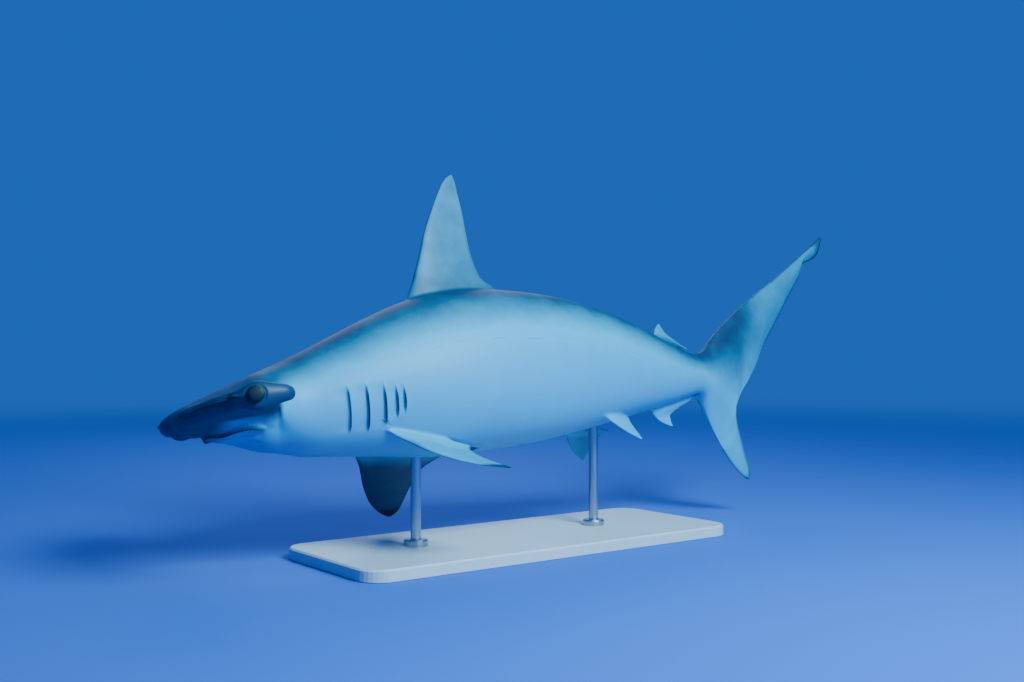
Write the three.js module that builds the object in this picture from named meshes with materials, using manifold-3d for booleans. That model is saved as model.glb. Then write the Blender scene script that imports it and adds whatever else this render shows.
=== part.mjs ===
// A life-size museum model of a scalloped hammerhead shark, swimming in a gentle right turn
// with its right side banked down, held over a flat base by two short rods.
// Millimetres, +Z up. The shark heads towards -X and its left side faces -Y.
// The origin is the middle of the base's underside.
import * as THREE from "three";
import { mergeVertices } from "three/addons/utils/BufferGeometryUtils.js";
import Module from "manifold-3d";

const wasm = await Module();
wasm.setup();

// Driving dimensions.
const TOTAL_LENGTH = 2400; // snout to the tip of the tail, the tail laid in line
const PC = TOTAL_LENGTH / 100; // sharks are measured in percent of total length
const GAP = 0.3; // clearance between touching pieces

// Pose: the spine's heading and the body's roll at stations along it, in degrees. A negative
// heading turns the head to the right; the roll is taken off the bank towards the tail.
const HEADINGS = [
  [0, -6.2, 2.7],
  [12, -6.2, 2.2],
  [22, -6.6, 0],
  [42, 0, 0],
  [58, 4.6, 3.8],
  [71, 6, 7.5],
  [85, 4, 10],
  [100, 2.5, 12],
];
const PITCH_DEG = 2.6; // nose down
const BANK_DEG = 13; // right side down
const POSE_CENTRE = 40; // percent of length that stays over the base's middle
const AXIS_HEIGHT = 420; // the trunk's axis over the floor there

// Sections of the trunk, in percent: station, height of the back, of the belly, half width.
const TRUNK = [
  [14, 5.2, -4.8, 4.9],
  [18, 6.8, -5.2, 5.5],
  [22, 8.4, -5.65, 6.0],
  [28, 10.3, -6.4, 6.6],
  [34, 11.0, -6.5, 6.8],
  [42, 10.5, -6.2, 6.4],
  [50, 9.0, -5.3, 5.3],
  [58, 6.4, -4.2, 4.0],
  [64, 4.0, -3.4, 2.8],
  [67, 2.9, -2.85, 2.2],
  [69.6, 2.15, -2.45, 1.8],
];
const WIDEST = 0.47; // where the section is widest, as a share of its height from the belly
const BACK_ROUND = 2.0;
const BELLY_ROUND = 2.3;

// Small maths.
const radians = (degrees) => (degrees * Math.PI) / 180;
const mix = (a, b, t) => a + (b - a) * t;
const clamp = (value, low, high) => Math.min(high, Math.max(low, value));
const ease = (from, to, value) => {
  const t = clamp((value - from) / (to - from), 0, 1);
  return t * t * (3 - 2 * t);
};
const bell = (distance, reach) => Math.exp(-((distance / reach) ** 2));
const steps = (from, to, count) =>
  Array.from({ length: count + 1 }, (_, i) => mix(from, to, i / count));

// A smooth curve through rows of numbers at rising keys, with three-point slopes.
function through(keys, rows) {
  const last = keys.length - 1;
  const slope = (i, j) => (rows[i + 1][j] - rows[i][j]) / (keys[i + 1] - keys[i]);
  const slopes = rows.map((row, i) =>
    row.map((_, j) => {
      if (i === 0) return slope(0, j);
      if (i === last) return slope(last - 1, j);
      const before = keys[i] - keys[i - 1];
      const after = keys[i + 1] - keys[i];
      return (slope(i - 1, j) * after + slope(i, j) * before) / (before + after);
    }),
  );
  return (key) => {
    let i = 0;
    while (i < last - 1 && key > keys[i + 1]) i += 1;
    const span = keys[i + 1] - keys[i];
    const t = clamp((key - keys[i]) / span, 0, 1);
    const h = t * t * (3 - 2 * t);
    return rows[i].map(
      (value, j) =>
        value * (1 - h) +
        rows[i + 1][j] * h +
        slopes[i][j] * span * t * (1 - t) ** 2 -
        slopes[i + 1][j] * span * t * t * (1 - t),
    );
  };
}

// The same through points, keyed by the share of the way along them.
function outline(points) {
  const keys = [0];
  for (let i = 1; i < points.length; i += 1) {
    keys.push(keys[i - 1] + Math.hypot(...points[i].map((v, j) => v - points[i - 1][j])));
  }
  const length = keys[keys.length - 1];
  return through(
    keys.map((key) => key / length),
    points,
  );
}

const keyed = (table) =>
  through(
    table.map((row) => row[0]),
    table.map((row) => row.slice(1)),
  );

// The bend of the swimming body, then the pose on the stand.
const heading = keyed(HEADINGS);
const SPINE_STEP = 0.5;
const spine = (() => {
  const points = [[0, 0]];
  for (let x = 0; x < 100; x += SPINE_STEP) {
    const turn = radians(heading(x + SPINE_STEP / 2)[0]);
    const [px, py] = points[points.length - 1];
    points.push([px + Math.cos(turn) * SPINE_STEP, py + Math.sin(turn) * SPINE_STEP]);
  }
  return keyed(points.map((point, i) => [i * SPINE_STEP, ...point]));
})();

function posed([x, straightY, straightZ]) {
  const [turnDeg, rollDeg] = heading(clamp(x, 0, 100));
  const turn = radians(turnDeg);
  const [cx, cy] = spine(clamp(x, 0, 100));
  const [mx, my] = spine(POSE_CENTRE);
  const roll = radians(rollDeg);
  const y = straightY * Math.cos(roll) - straightZ * Math.sin(roll);
  const z = straightZ * Math.cos(roll) + straightY * Math.sin(roll);
  const overshoot = x - clamp(x, 0, 100);
  const bentX = (cx - mx + overshoot * Math.cos(turn) - y * Math.sin(turn)) * PC;
  const bentY = (cy - my + overshoot * Math.sin(turn) + y * Math.cos(turn)) * PC;
  const bank = radians(BANK_DEG);
  const pitch = radians(PITCH_DEG);
  const rolledY = bentY * Math.cos(bank) + z * PC * Math.sin(bank);
  const rolledZ = z * PC * Math.cos(bank) - bentY * Math.sin(bank);
  return [
    bentX * Math.cos(pitch) - rolledZ * Math.sin(pitch),
    rolledY,
    AXIS_HEIGHT + rolledZ * Math.cos(pitch) + bentX * Math.sin(pitch),
  ];
}

// A surface built from loops of points, each point in percent of the straight body.
class Surface {
  constructor() {
    this.points = [];
    this.faces = [];
  }

  loop(points) {
    return points.map((point) => this.points.push(posed(point)) - 1);
  }

  bridge(a, b) {
    a.forEach((_, i) => {
      const j = (i + 1) % a.length;
      this.faces.push([a[i], a[j], b[j]], [a[i], b[j], b[i]]);
    });
    return b;
  }

  cap(loop, facingBack) {
    const middle = [0, 1, 2].map(
      (axis) => loop.reduce((sum, i) => sum + this.points[i][axis], 0) / loop.length,
    );
    const hub = this.points.push(middle) - 1;
    loop.forEach((from, i) => {
      const to = loop[(i + 1) % loop.length];
      this.faces.push(facingBack ? [from, to, hub] : [to, from, hub]);
    });
  }

  solid() {
    const made = solidOf(this.points, this.faces);
    if (made.volume() > 0) return made;
    return solidOf(
      this.points,
      this.faces.map(([a, b, c]) => [a, c, b]),
    );
  }
}

function solidOf(points, faces) {
  const geometry = new THREE.BufferGeometry();
  geometry.setAttribute("position", new THREE.Float32BufferAttribute(points.flat(), 3));
  geometry.setIndex(faces.flat());
  return solidOfGeometry(geometry);
}

function solidOfGeometry(geometry) {
  const bare = geometry.clone();
  bare.deleteAttribute("normal");
  bare.deleteAttribute("uv");
  const merged = mergeVertices(bare, 1e-4);
  return new wasm.Manifold(
    new wasm.Mesh({
      numProp: 3,
      vertProperties: merged.attributes.position.array,
      triVerts: new Uint32Array(merged.index.array),
    }),
  );
}

function lofted(loops) {
  const surface = new Surface();
  const indices = loops.map((points) => surface.loop(points));
  indices.slice(1).forEach((loop, i) => surface.bridge(indices[i], loop));
  surface.cap(indices[0], false);
  surface.cap(indices[indices.length - 1], true);
  return surface.solid();
}

// The largest closed body of a cut or joined solid.
const largest = (solid) =>
  solid.decompose().reduce((best, body) => (body.volume() > best.volume() ? body : best));

// Trunk: rounded sections, fuller below than above, and gill slits on both sides of the neck.
const profile = keyed(TRUNK);
const TRUNK_SIDES = 44;
const NECK_SIDES = 60;
const GILL_SLITS = [17.3, 19.0, 20.6, 21.8, 22.7];
const GILL_ANGLES = [radians(88), radians(124)];
const GILL_FADE = 0.1;
const GILL_DEPTH = 0.34;
const GILL_LIP = 0.13;
const GILL_WIDTH = 0.14;

function gillRelief(x, angle) {
  const down = angle > Math.PI ? 2 * Math.PI - angle : angle;
  const [upper, lower] = GILL_ANGLES;
  const inside =
    ease(upper - GILL_FADE, upper + GILL_FADE, down) *
    (1 - ease(lower - GILL_FADE, lower + GILL_FADE, down));
  if (GILL_SLITS.includes(x)) return -GILL_DEPTH * inside;
  const next = GILL_SLITS.find((at) => at > x);
  const before = GILL_SLITS.filter((at) => at < x).pop() ?? GILL_SLITS[0] - 2;
  if (next === undefined) return 0;
  return GILL_LIP * inside * ease(before, next, x);
}

function trunkPoint(x, angle, extra = 0) {
  const [back, belly, half] = profile(x);
  const middle = mix(belly, back, WIDEST);
  const upper = Math.cos(angle) >= 0;
  const power = upper ? BACK_ROUND : BELLY_ROUND;
  const reach = (upper ? back - middle : middle - belly) + extra;
  const across = Math.sin(angle);
  const height = reach * (1 - Math.min(1, Math.abs(across)) ** power) ** (1 / power);
  return [x, (half + extra) * across, middle + (upper ? height : -height)];
}

const around = (sides) => steps(0, 2 * Math.PI, sides).slice(0, -1);
const trunkLoop = (x, sides, extra) =>
  around(sides).map((angle) => trunkPoint(x, angle, extra + gillRelief(x, angle)));

const NECK_START = 14;
const FRONT_START = 25.5;
const REAR_START = 42;
const STALK_START = 58;
const TAIL_START = 69.6;
const CUT = GAP / PC / 2;
const CLEARANCE = (1.3 * GAP) / PC; // covers the flats between the sections' corners

// Rings of the neck stand at each slit's lip, floor and far side.
const neckStations = [
  ...steps(NECK_START, GILL_SLITS[0] - 0.9, 3),
  ...GILL_SLITS.flatMap((at) => [at - GILL_WIDTH, at, at + GILL_WIDTH]),
  24.7,
  FRONT_START,
];
const frontStations = steps(FRONT_START, REAR_START, 8);
const rearStations = steps(REAR_START, STALK_START, 8);
const stalkStations = steps(STALK_START, TAIL_START, 7);

function trunkNode(stations, sides = TRUNK_SIDES) {
  const inner = stations.slice(1, -1);
  const first = stations[0] + CUT;
  const last = stations[stations.length - 1] - CUT;
  return lofted([first, ...inner, last].map((x) => trunkLoop(x, sides, 0)));
}

// The trunk in one piece and a gap larger all over, to trim what grows from it or holds it.
const trunkClearance = lofted(
  [
    ...neckStations,
    ...frontStations.slice(1),
    ...rearStations.slice(1),
    ...stalkStations.slice(1),
  ].map((x) => trunkLoop(x, NECK_SIDES, CLEARANCE)),
);

// Head: the hammer's plan outline, from the middle of the front round a tip to the neck.
const HEAD_PLAN = outline([
  [1.05, 0],
  [1.2, 2.6],
  [1.68, 5.4],
  [2.36, 7.8],
  [3.45, 10.6],
  [4.1, 12.2],
  [4.75, 13.1],
  [5.8, 13.5],
  [7.3, 13.5],
  [8.7, 13.3],
  [9.3, 12.6],
  [9.25, 11.0],
  [9.3, 9.0],
  [9.65, 7.0],
  [10.5, 5.55],
  [11.9, 4.95],
  [NECK_START, 4.9],
]);
// How far back each loop crosses the midline, along the same outline.
const HEAD_MIDLINE = keyed([
  [0, 1.05],
  [0.05, 1.5],
  [0.15, 2.5],
  [0.3, 3.9],
  [0.42, 5.2],
  [0.58, 7.5],
  [0.7, 9.5],
  [0.78, 10.3],
  [0.86, 11.3],
  [1, NECK_START],
]);
const HEAD_SIDES = 48;
// The skull and jaws along the midline: station, height of top, of underside, half width.
const MOUND = keyed([
  [1, 0.3, -1.1, 2.6],
  [2.5, 0.9, -1.4, 3.2],
  [5, 1.9, -1.75, 3.9],
  [7.5, 2.85, -2.35, 4.2],
  [10.5, 4.0, -3.8, 4.6],
  [NECK_START, 5.2, -4.8, 4.9],
]);
const WING_HEIGHT = -0.3; // the hammer's mid plane
const WING_TOP = keyed([
  [0, 0.85],
  [0.25, 1.05],
  [0.6, 0.8],
  [1, 0.22],
]);
const WING_UNDER = keyed([
  [0, 0.9],
  [0.3, 1.0],
  [0.6, 0.75],
  [1, 0.2],
]);
const wingFront = (y) => 1.05 + 0.0215 * y * y;
const WING_REAR = keyed([
  [0, 12],
  [5, 10.8],
  [7, 9.6],
  [9, 9.2],
  [11, 9.1],
  [13.5, 8.9],
]);
const NOTCHES = [
  { at: 0, reach: 1.4, depth: 0.5 },
  { at: 5.8, reach: 1.4, depth: 0.35 },
  { at: 11.3, reach: 1.0, depth: 0.5 },
];
const NOTCH_FADE = 1.6; // how far behind the front edge a notch dies out
const notchAt = (y) =>
  NOTCHES.reduce((sum, { at, reach, depth }) => sum + depth * bell(y - at, reach), 0);
const TIP_THICKNESS = 0.45; // added at the rear corners of the hammer
const DIHEDRAL = 0.048; // rise of the wings per unit of span
const EDGE_ROUND = [0.95, 0.45]; // reach of the rounding at the front edge and at the rear

const headEdge = steps(0, 0.97, 240).map((t) => HEAD_PLAN(t));
const edgeInset = (x, y) => Math.min(...headEdge.map(([ex, ey]) => Math.hypot(x - ex, y - ey)));
const softMax = (a, b) => (a ** 3 + b ** 3) ** (1 / 3);
const quarterRound = (share) => Math.sqrt(1 - (1 - clamp(share, 0, 1)) ** 2);

// Mouth: an arch under the head, its corners behind its middle, with the jaw bulging behind it.
const MOUTH = { corner: 9.2, reach: 4.6, half: 4.1, gape: 0.34, depth: 0.9 };
const JAW_BULGE = 0.45;
const JAW_FADE = [2.5, 7];
const mouthAt = (y) =>
  MOUTH.corner - MOUTH.reach * Math.sqrt(1 - clamp(y / MOUTH.half, -1, 1) ** 2);

function jawRelief(x, y) {
  const across = clamp(y / MOUTH.half, -1, 1);
  const behind = x - mouthAt(y);
  return JAW_BULGE * ease(-0.1, 0.9, behind) * (1 - ease(...JAW_FADE, behind)) * (1 - across ** 4);
}

// Height of the head's upper or lower face over its mid plane, at a point of the plan.
function headThickness(x, y, upper) {
  const depth = Math.max(0, x - wingFront(y));
  const [top, under, half] = MOUND(x);
  const chord = clamp(depth / (WING_REAR(Math.min(y, 13.5))[0] - wingFront(y)), 0, 1);
  const tip = TIP_THICKNESS * ease(10.5, 12.8, y) * chord;
  const wing = (upper ? WING_TOP : WING_UNDER)(chord)[0] * (1 - 0.15 * (y / 13.5) ** 2) + tip;
  const eyeMound = 0.3 * bell(x - 5.6, 1.3) * bell(y - 13, 1.1);
  const reach = upper ? top - WING_HEIGHT : WING_HEIGHT - under;
  const mound = Math.max(0, reach) * (1 + (y / half) ** 5) ** -0.9;
  const rounding = mix(...EDGE_ROUND, chord) + mix(0.5, 1.1, chord) * mound;
  const jaw = upper ? 0 : jawRelief(x, y);
  return (softMax(mound, wing + eyeMound) + jaw) * quarterRound(edgeInset(x, y) / rounding);
}

function headPoint(t, angle) {
  const [planX, planY] = HEAD_PLAN(t);
  const [middleX] = HEAD_MIDLINE(t);
  const sine = Math.abs(Math.sin(angle));
  const side = Math.sign(Math.sin(angle));
  const gather = 1 + 0.5 * ease(0.25, 0.45, t) * (1 - ease(0.75, 0.95, t));
  const out = sine ** gather;
  const y = planY * out;
  const x = mix(middleX, planX, out ** mix(2, 2.5, ease(0.5, 0.65, t) * (1 - ease(0.8, 1, t))));
  const depth = Math.max(0, x - wingFront(y));
  const notch = notchAt(y) * Math.exp(-depth / NOTCH_FADE) * (1 - ease(0.36, 0.42, t));
  const upper = Math.cos(angle) >= 0;
  const neck = ease(0.8, 1, t);
  const [back, belly] = profile(NECK_START);
  const neckMiddle = mix(belly, back, WIDEST);
  const middle = mix(WING_HEIGHT, neckMiddle, neck);
  const [top, under] = MOUND(x);
  const reach = upper ? top - middle : middle - under;
  const power = upper ? BACK_ROUND : BELLY_ROUND;
  const round = reach * (1 - Math.min(1, out) ** power) ** (1 / power);
  const height = sine > 1 - 1e-9 ? 0 : mix(headThickness(x, y, upper), round, neck);
  const rise = DIHEDRAL * y * (1 - neck);
  return [x + notch, side * y, middle + rise + (upper ? height : -height)];
}

const headStations = [
  0.004, 0.015, 0.035, 0.065, 0.1, 0.14, 0.18, 0.21, 0.24, 0.27, 0.3, 0.33, 0.36, 0.385, 0.41,
  0.44, 0.475, 0.51, 0.545, 0.58, 0.615, 0.65, 0.69, 0.73, 0.77, 0.81, 0.85, 0.89, 0.94, 1,
];
const headLoop = (t) =>
  around(HEAD_SIDES).map((angle) => {
    const [x, y, z] = headPoint(t, angle);
    return [Math.min(x, NECK_START - CUT), y, z];
  });
const headShell = lofted(headStations.map(headLoop));

// A ball, and a hoop round an axis across the body, to shape the eyes and their lids.
const BALL_SIDES = 20;
const HOOP_SIDES = 7;
const ball = ([x, y, z], [rx, ry, rz]) =>
  lofted(
    steps(0, Math.PI, BALL_SIDES / 2)
      .slice(1, -1)
      .map((polar) =>
        around(BALL_SIDES).map((angle) => [
          x + rx * Math.sin(polar) * Math.cos(angle),
          y + ry * Math.cos(polar),
          z + rz * Math.sin(polar) * Math.sin(angle),
        ]),
      ),
  );

function hoop([x, y, z], radius, thickness) {
  const surface = new Surface();
  const loops = around(BALL_SIDES).map((angle) =>
    surface.loop(
      around(HOOP_SIDES).map((turn) => {
        const reach = radius + thickness * Math.cos(turn);
        const along = thickness * Math.sin(turn);
        return [x + reach * Math.cos(angle), y + along, z + reach * Math.sin(angle)];
      }),
    ),
  );
  loops.forEach((loop, i) => surface.bridge(loop, loops[(i + 1) % loops.length]));
  return surface.solid();
}

const EYE = { at: 5.5, out: 13.0, height: 0.42, radius: 0.75 };
const LID = { out: 13.25, radius: 0.75, thickness: 0.13 };
const eyeCentre = (side) => [EYE.at, side * EYE.out, EYE.height];
const eyeBall = (side, extra = 0) => ball(eyeCentre(side), Array(3).fill(EYE.radius + extra));
const eyeLid = (side) => hoop([EYE.at, side * LID.out, EYE.height], LID.radius, LID.thickness);

// Cut along the arch, at the foot of the jaw's front: narrow and shallow at its corners.
const MOUTH_STEPS = 16;
const mouthCut = lofted(
  steps(-Math.PI / 2, Math.PI / 2, MOUTH_STEPS).map((angle) => {
    const y = MOUTH.half * Math.sin(angle);
    const x = mouthAt(y);
    const taper = Math.max(0.12, Math.cos(angle) ** 0.6);
    const width = MOUTH.gape * taper;
    const skin = headThickness(x - width / 2, Math.abs(y), false);
    const floor = WING_HEIGHT + DIHEDRAL * Math.abs(y) - skin;
    const inner = floor + MOUTH.depth * taper;
    const steep = Math.abs(y) / MOUTH.half;
    return [
      [x - width * 0.5, y * (1 + 0.1 * steep), floor - 0.8],
      [x - width * 0.2, y * (1 + 0.04 * steep), inner],
      [x + width * 0.5, y * (1 - 0.04 * steep), inner],
      [x + width * 0.7, y * (1 - 0.1 * steep), floor - 0.8],
    ];
  }),
);

// Nostrils: a slot in the front edge by each tip, with a long groove leading in from it.
const NOSTRIL = { out: 12.0, size: [0.55, 0.6, 0.2] };
const GROOVE = { from: 2.6, to: 11.9, half: 0.09, depth: 0.2, steps: 10 };
const frontEdge = (y) => [wingFront(y) + notchAt(y), WING_HEIGHT + DIHEDRAL * y + 0.1];
const nostrilCut = (side) => {
  const [x, z] = frontEdge(NOSTRIL.out);
  return ball([x, side * NOSTRIL.out, z], NOSTRIL.size);
};
const grooveCut = (side) =>
  lofted(
    steps(GROOVE.from, GROOVE.to, GROOVE.steps).map((y) => {
      const [x, z] = frontEdge(y);
      const deep = GROOVE.depth * ease(GROOVE.from - 0.5, GROOVE.from + 1.5, y);
      return [
        [x - 0.3, side * y, z - GROOVE.half * 1.4],
        [x + deep, side * y, z - GROOVE.half * 0.5],
        [x + deep, side * y, z + GROOVE.half * 0.5],
        [x - 0.3, side * y, z + GROOVE.half * 1.4],
      ];
    }),
  );

// Fins: a leading and a trailing edge as [out, back] points in percent, on an airfoil section.
const FIN_HALF_POINTS = 8;
const FIN_SINK = 1.4;

function airfoil(share) {
  const c = clamp(share, 0, 1);
  return 2.969 * Math.sqrt(c) - 1.26 * c - 3.516 * c * c + 2.843 * c ** 3 - 1.015 * c ** 4;
}

function finSolid(fin) {
  const leading = keyed(fin.leading);
  const trailing = keyed(fin.trailing);
  const span = fin.leading[fin.leading.length - 1][0];
  const lean = radians(fin.lean);
  const slope = radians(fin.slope);
  const tilt = radians(fin.tilt);
  const side = fin.lean < 0 ? -1 : 1;
  const outward = [0, Math.sin(lean), Math.cos(lean)];
  const normal = [0, Math.cos(lean) * side, -Math.sin(lean) * side];
  const spanwise = outward.map((v, k) => v * Math.cos(slope) + (k === 0 ? Math.sin(slope) : 0));
  const flat = outward.map((v, k) => -v * Math.sin(slope) + (k === 0 ? Math.cos(slope) : 0));
  const chordwise = flat.map((v, k) => v * Math.cos(tilt) + normal[k] * Math.sin(tilt));
  const thickwise = normal.map((v, k) => v * Math.cos(tilt) - flat[k] * Math.sin(tilt));
  const shares = steps(0, Math.PI, FIN_HALF_POINTS).map((a) => (1 - Math.cos(a)) / 2);
  const loops = [-FIN_SINK, ...fin.stations.map((share) => share * span)].map((out) => {
    const reach = Math.max(0, out);
    const from = leading(reach)[0];
    const chord = trailing(reach)[0] - from;
    const thick = fin.thickness * mix(1, 0.6, reach / span);
    const place = (share, face) => {
      const full = Math.max(fin.edge / 2, (chord * thick * airfoil(share)) / 2);
      const half = share === 0 ? 0 : full * face;
      const lift = fin.curl * (reach / span) ** 2 + half;
      const back = from + chord * share;
      return fin.root.map((v, k) => v + spanwise[k] * out + chordwise[k] * back + thickwise[k] * lift);
    };
    return [
      ...shares.map((share) => place(share, 1)),
      ...shares
        .slice(1)
        .reverse()
        .map((share) => place(share, -1)),
    ];
  });
  return lofted(loops);
}

const LONG_STATIONS = [
  0, 0.05, 0.1, 0.16, 0.23, 0.31, 0.4, 0.5, 0.6, 0.7, 0.79, 0.87, 0.93, 0.97, 0.992, 1,
];
const SHORT_STATIONS = [0, 0.08, 0.18, 0.3, 0.45, 0.6, 0.75, 0.88, 0.96, 1];

const FINS = {
  fin_dorsal_first: {
    root: [27.7, 0, 10.2],
    lean: 0,
    leading: [
      [0, 0],
      [2.3, 1.2],
      [4.9, 2.4],
      [8.1, 3.8],
      [10.1, 4.9],
      [12.2, 6.2],
      [13.4, 7.1],
      [14.0, 7.8],
      [14.2, 8.2],
    ],
    trailing: [
      [0, 9.6],
      [0.7, 11.3],
      [1.3, 10.9],
      [2.0, 9.9],
      [3.2, 9.35],
      [4.5, 9.05],
      [7.1, 8.85],
      [9.9, 8.8],
      [12.1, 8.65],
      [13.5, 8.55],
      [14.2, 8.35],
    ],
    thickness: 0.13,
    stations: LONG_STATIONS,
  },
  fin_dorsal_second: {
    root: [61.9, 0, 4.6],
    lean: 0,
    slope: 17,
    leading: [[0, 0], [0.9, 0.2], [1.7, 0.5], [2.1, 0.8]],
    trailing: [[0, 4.0], [0.35, 6.4], [0.7, 4.6], [1.2, 2.4], [1.7, 1.5], [2.1, 1.0]],
    thickness: 0.16,
    stations: SHORT_STATIONS,
  },
  fin_anal: {
    root: [59.9, 0, -3.7],
    lean: 180,
    slope: 10,
    leading: [[0, 0], [1.2, 0.4], [2.05, 1.2], [2.65, 2.15], [3.15, 3.15]],
    trailing: [
      [0, 7.6],
      [0.4, 9.8],
      [0.8, 8.6],
      [1.1, 6.9],
      [1.35, 5.0],
      [1.6, 3.7],
      [2.3, 3.2],
      [3.15, 3.3],
    ],
    thickness: 0.14,
    stations: SHORT_STATIONS,
  },
};

function pairedFin(name, shape, right, left) {
  FINS[`${name}_right`] = { ...shape, ...right };
  FINS[`${name}_left`] = { ...shape, ...left };
}

pairedFin(
  "fin_pectoral",
  {
    leading: [
      [0, 0],
      [1.2, 0.4],
      [2.56, 0.85],
      [4, 1.15],
      [5.5, 1.45],
      [7, 1.91],
      [8.5, 2.52],
      [9.6, 3.24],
      [10.4, 3.94],
      [10.9, 4.55],
      [11.15, 5.0],
    ],
    trailing: [
      [0, 7.0],
      [1.2, 9.4],
      [2.56, 11.2],
      [3.2, 9.9],
      [4, 8.6],
      [5.5, 7.55],
      [7, 7.05],
      [8.5, 6.65],
      [9.6, 6.35],
      [10.4, 6.05],
      [10.9, 5.65],
      [11.15, 5.3],
    ],
    thickness: 0.1,
    stations: LONG_STATIONS,
  },
  { root: [21.0, 4.6, -4.2], lean: 133.7, tilt: 5.6, slope: 7.3, curl: -0.6 },
  { root: [21.1, -4.6, -3.6], lean: -134.2, tilt: 19.9, slope: 17.7, curl: -2.3 },
);
pairedFin(
  "fin_pelvic",
  {
    leading: [[0, 0], [1.2, 0.7], [2.6, 1.8], [3.7, 3.1], [4.3, 4.0]],
    trailing: [[0, 5.4], [0.5, 6.9], [1.0, 6.1], [1.9, 5.1], [3.0, 4.7], [3.8, 4.5], [4.3, 4.3]],
    thickness: 0.13,
    stations: SHORT_STATIONS,
  },
  { root: [47.5, 2.5, -5.0], lean: 146, tilt: 5 },
  { root: [48.8, -3.2, -4.5], lean: -152, tilt: 18, slope: 20 },
);
Object.values(FINS).forEach((fin) => {
  fin.edge ??= 0.07;
  fin.curl ??= 0;
  fin.slope ??= 0;
  fin.tilt ??= 0;
});

// Tail fin: the side outlines of its two lobes, [station, height] in percent.
const UPPER_LEADING = outline([
  [TAIL_START, 2.15],
  [71.2, 2.7],
  [72.8, 4.15],
  [75.1, 5.7],
  [77.3, 7.0],
  [81.7, 9.4],
  [86.2, 11.65],
  [90.7, 14.1],
  [94.8, 16.4],
  [97.3, 17.9],
]);
const UPPER_TRAILING = outline([
  [77.0, -4.6],
  [78.1, -3.1],
  [80.1, -1.3],
  [82.0, 0.7],
  [84.0, 3.3],
  [86.5, 5.95],
  [88.9, 8.6],
  [91.0, 10.9],
  [92.5, 12.6],
  [93.1, 14.0],
  [94.9, 14.6],
  [96.6, 15.5],
  [97.6, 17.4],
]);
const LOWER_LEADING = outline([
  [TAIL_START, -2.45],
  [70.2, -4.4],
  [71.0, -6.0],
  [72.7, -8.7],
  [74.9, -11.5],
  [77.3, -13.6],
  [78.4, -14.25],
]);
const LOWER_TRAILING = outline([
  [77.0, -4.6],
  [76.8, -6.0],
  [77.4, -8.5],
  [78.3, -11.2],
  [78.9, -13.1],
  [78.8, -14.1],
]);
const TAIL_ROWS = 16; // rows down each side, the fork at the middle one
const FORK_ROW = TAIL_ROWS / 2;
const UPPER_SPLIT = 0.3; // shares of the leading edges that lie before the fork
const LOWER_SPLIT = 0.42;
const TAIL_FULL_LOOPS = 7;
const UPPER_LOOPS = 14;
const LOWER_LOOPS = 9;
const TAIL_EDGE = 0.05;

// Half thickness down the side at the fork: the backbone's lobe, the fork and the lower lobe.
const FORK_THICKNESS = keyed([
  [0, 0.16],
  [0.06, 0.5],
  [0.2, 0.85],
  [0.35, 0.55],
  [0.5, 0.14],
  [0.65, 0.4],
  [0.85, 0.5],
  [0.96, 0.3],
  [1, 0.1],
]);

// One side of the tail as rows of points from the upper edge to the lower one, ring after ring
// back to the fork, then on along each lobe.
const tailShares = Array.from(
  { length: TAIL_ROWS + 1 },
  (_, j) => (1 - Math.cos((Math.PI * j) / TAIL_ROWS)) / 2,
);
const forkMiddle = UPPER_TRAILING(0);

function tailPath(w) {
  const upper = UPPER_LEADING(w * UPPER_SPLIT);
  const lower = LOWER_LEADING(w * LOWER_SPLIT);
  const middle = [TAIL_START, 0].map((value, k) => mix(value, forkMiddle[k], w));
  return through([0, 0.5, 1], [upper, middle, lower]);
}

function tailSide(w) {
  const half = profile(TAIL_START)[2];
  return tailShares.map((share, j) => {
    const angle = (Math.PI * j) / TAIL_ROWS;
    if (w === 0) {
      const [x, y, z] = trunkPoint(TAIL_START, angle);
      return [x + CUT, y, z];
    }
    const [x, z] = tailPath(w)(share);
    return [x, mix(half * Math.sin(angle), FORK_THICKNESS(share)[0], ease(0, 1, w)), z];
  });
}

// The sides of a lobe: each row starts where the fork's ring has it and settles on the
// straight line between the lobe's two edges.
function lobeSides(leading, trailing, split, count, acrossOf) {
  const shares = tailShares.filter((share) => acrossOf(share) <= 1 + 1e-9);
  const [start, end] = [leading(split), trailing(0)];
  return steps(0, 1, count)
    .slice(1)
    .map((s) => {
      const front = leading(mix(split, 1, s));
      const rear = trailing(s);
      return shares.map((share) => {
        const across = acrossOf(share);
        const [x, z] = [0, 1].map((k) => {
          const bow = tailPath(1)(share)[k] - mix(start[k], end[k], across);
          return mix(front[k], rear[k], across) + bow * (1 - s) ** 3;
        });
        return [x, Math.max(TAIL_EDGE, FORK_THICKNESS(share)[0] * mix(1, 0.3, s)), z];
      });
    });
}

const mirrored = (side) => side.map(([x, y, z]) => [x, -y, z]);

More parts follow.
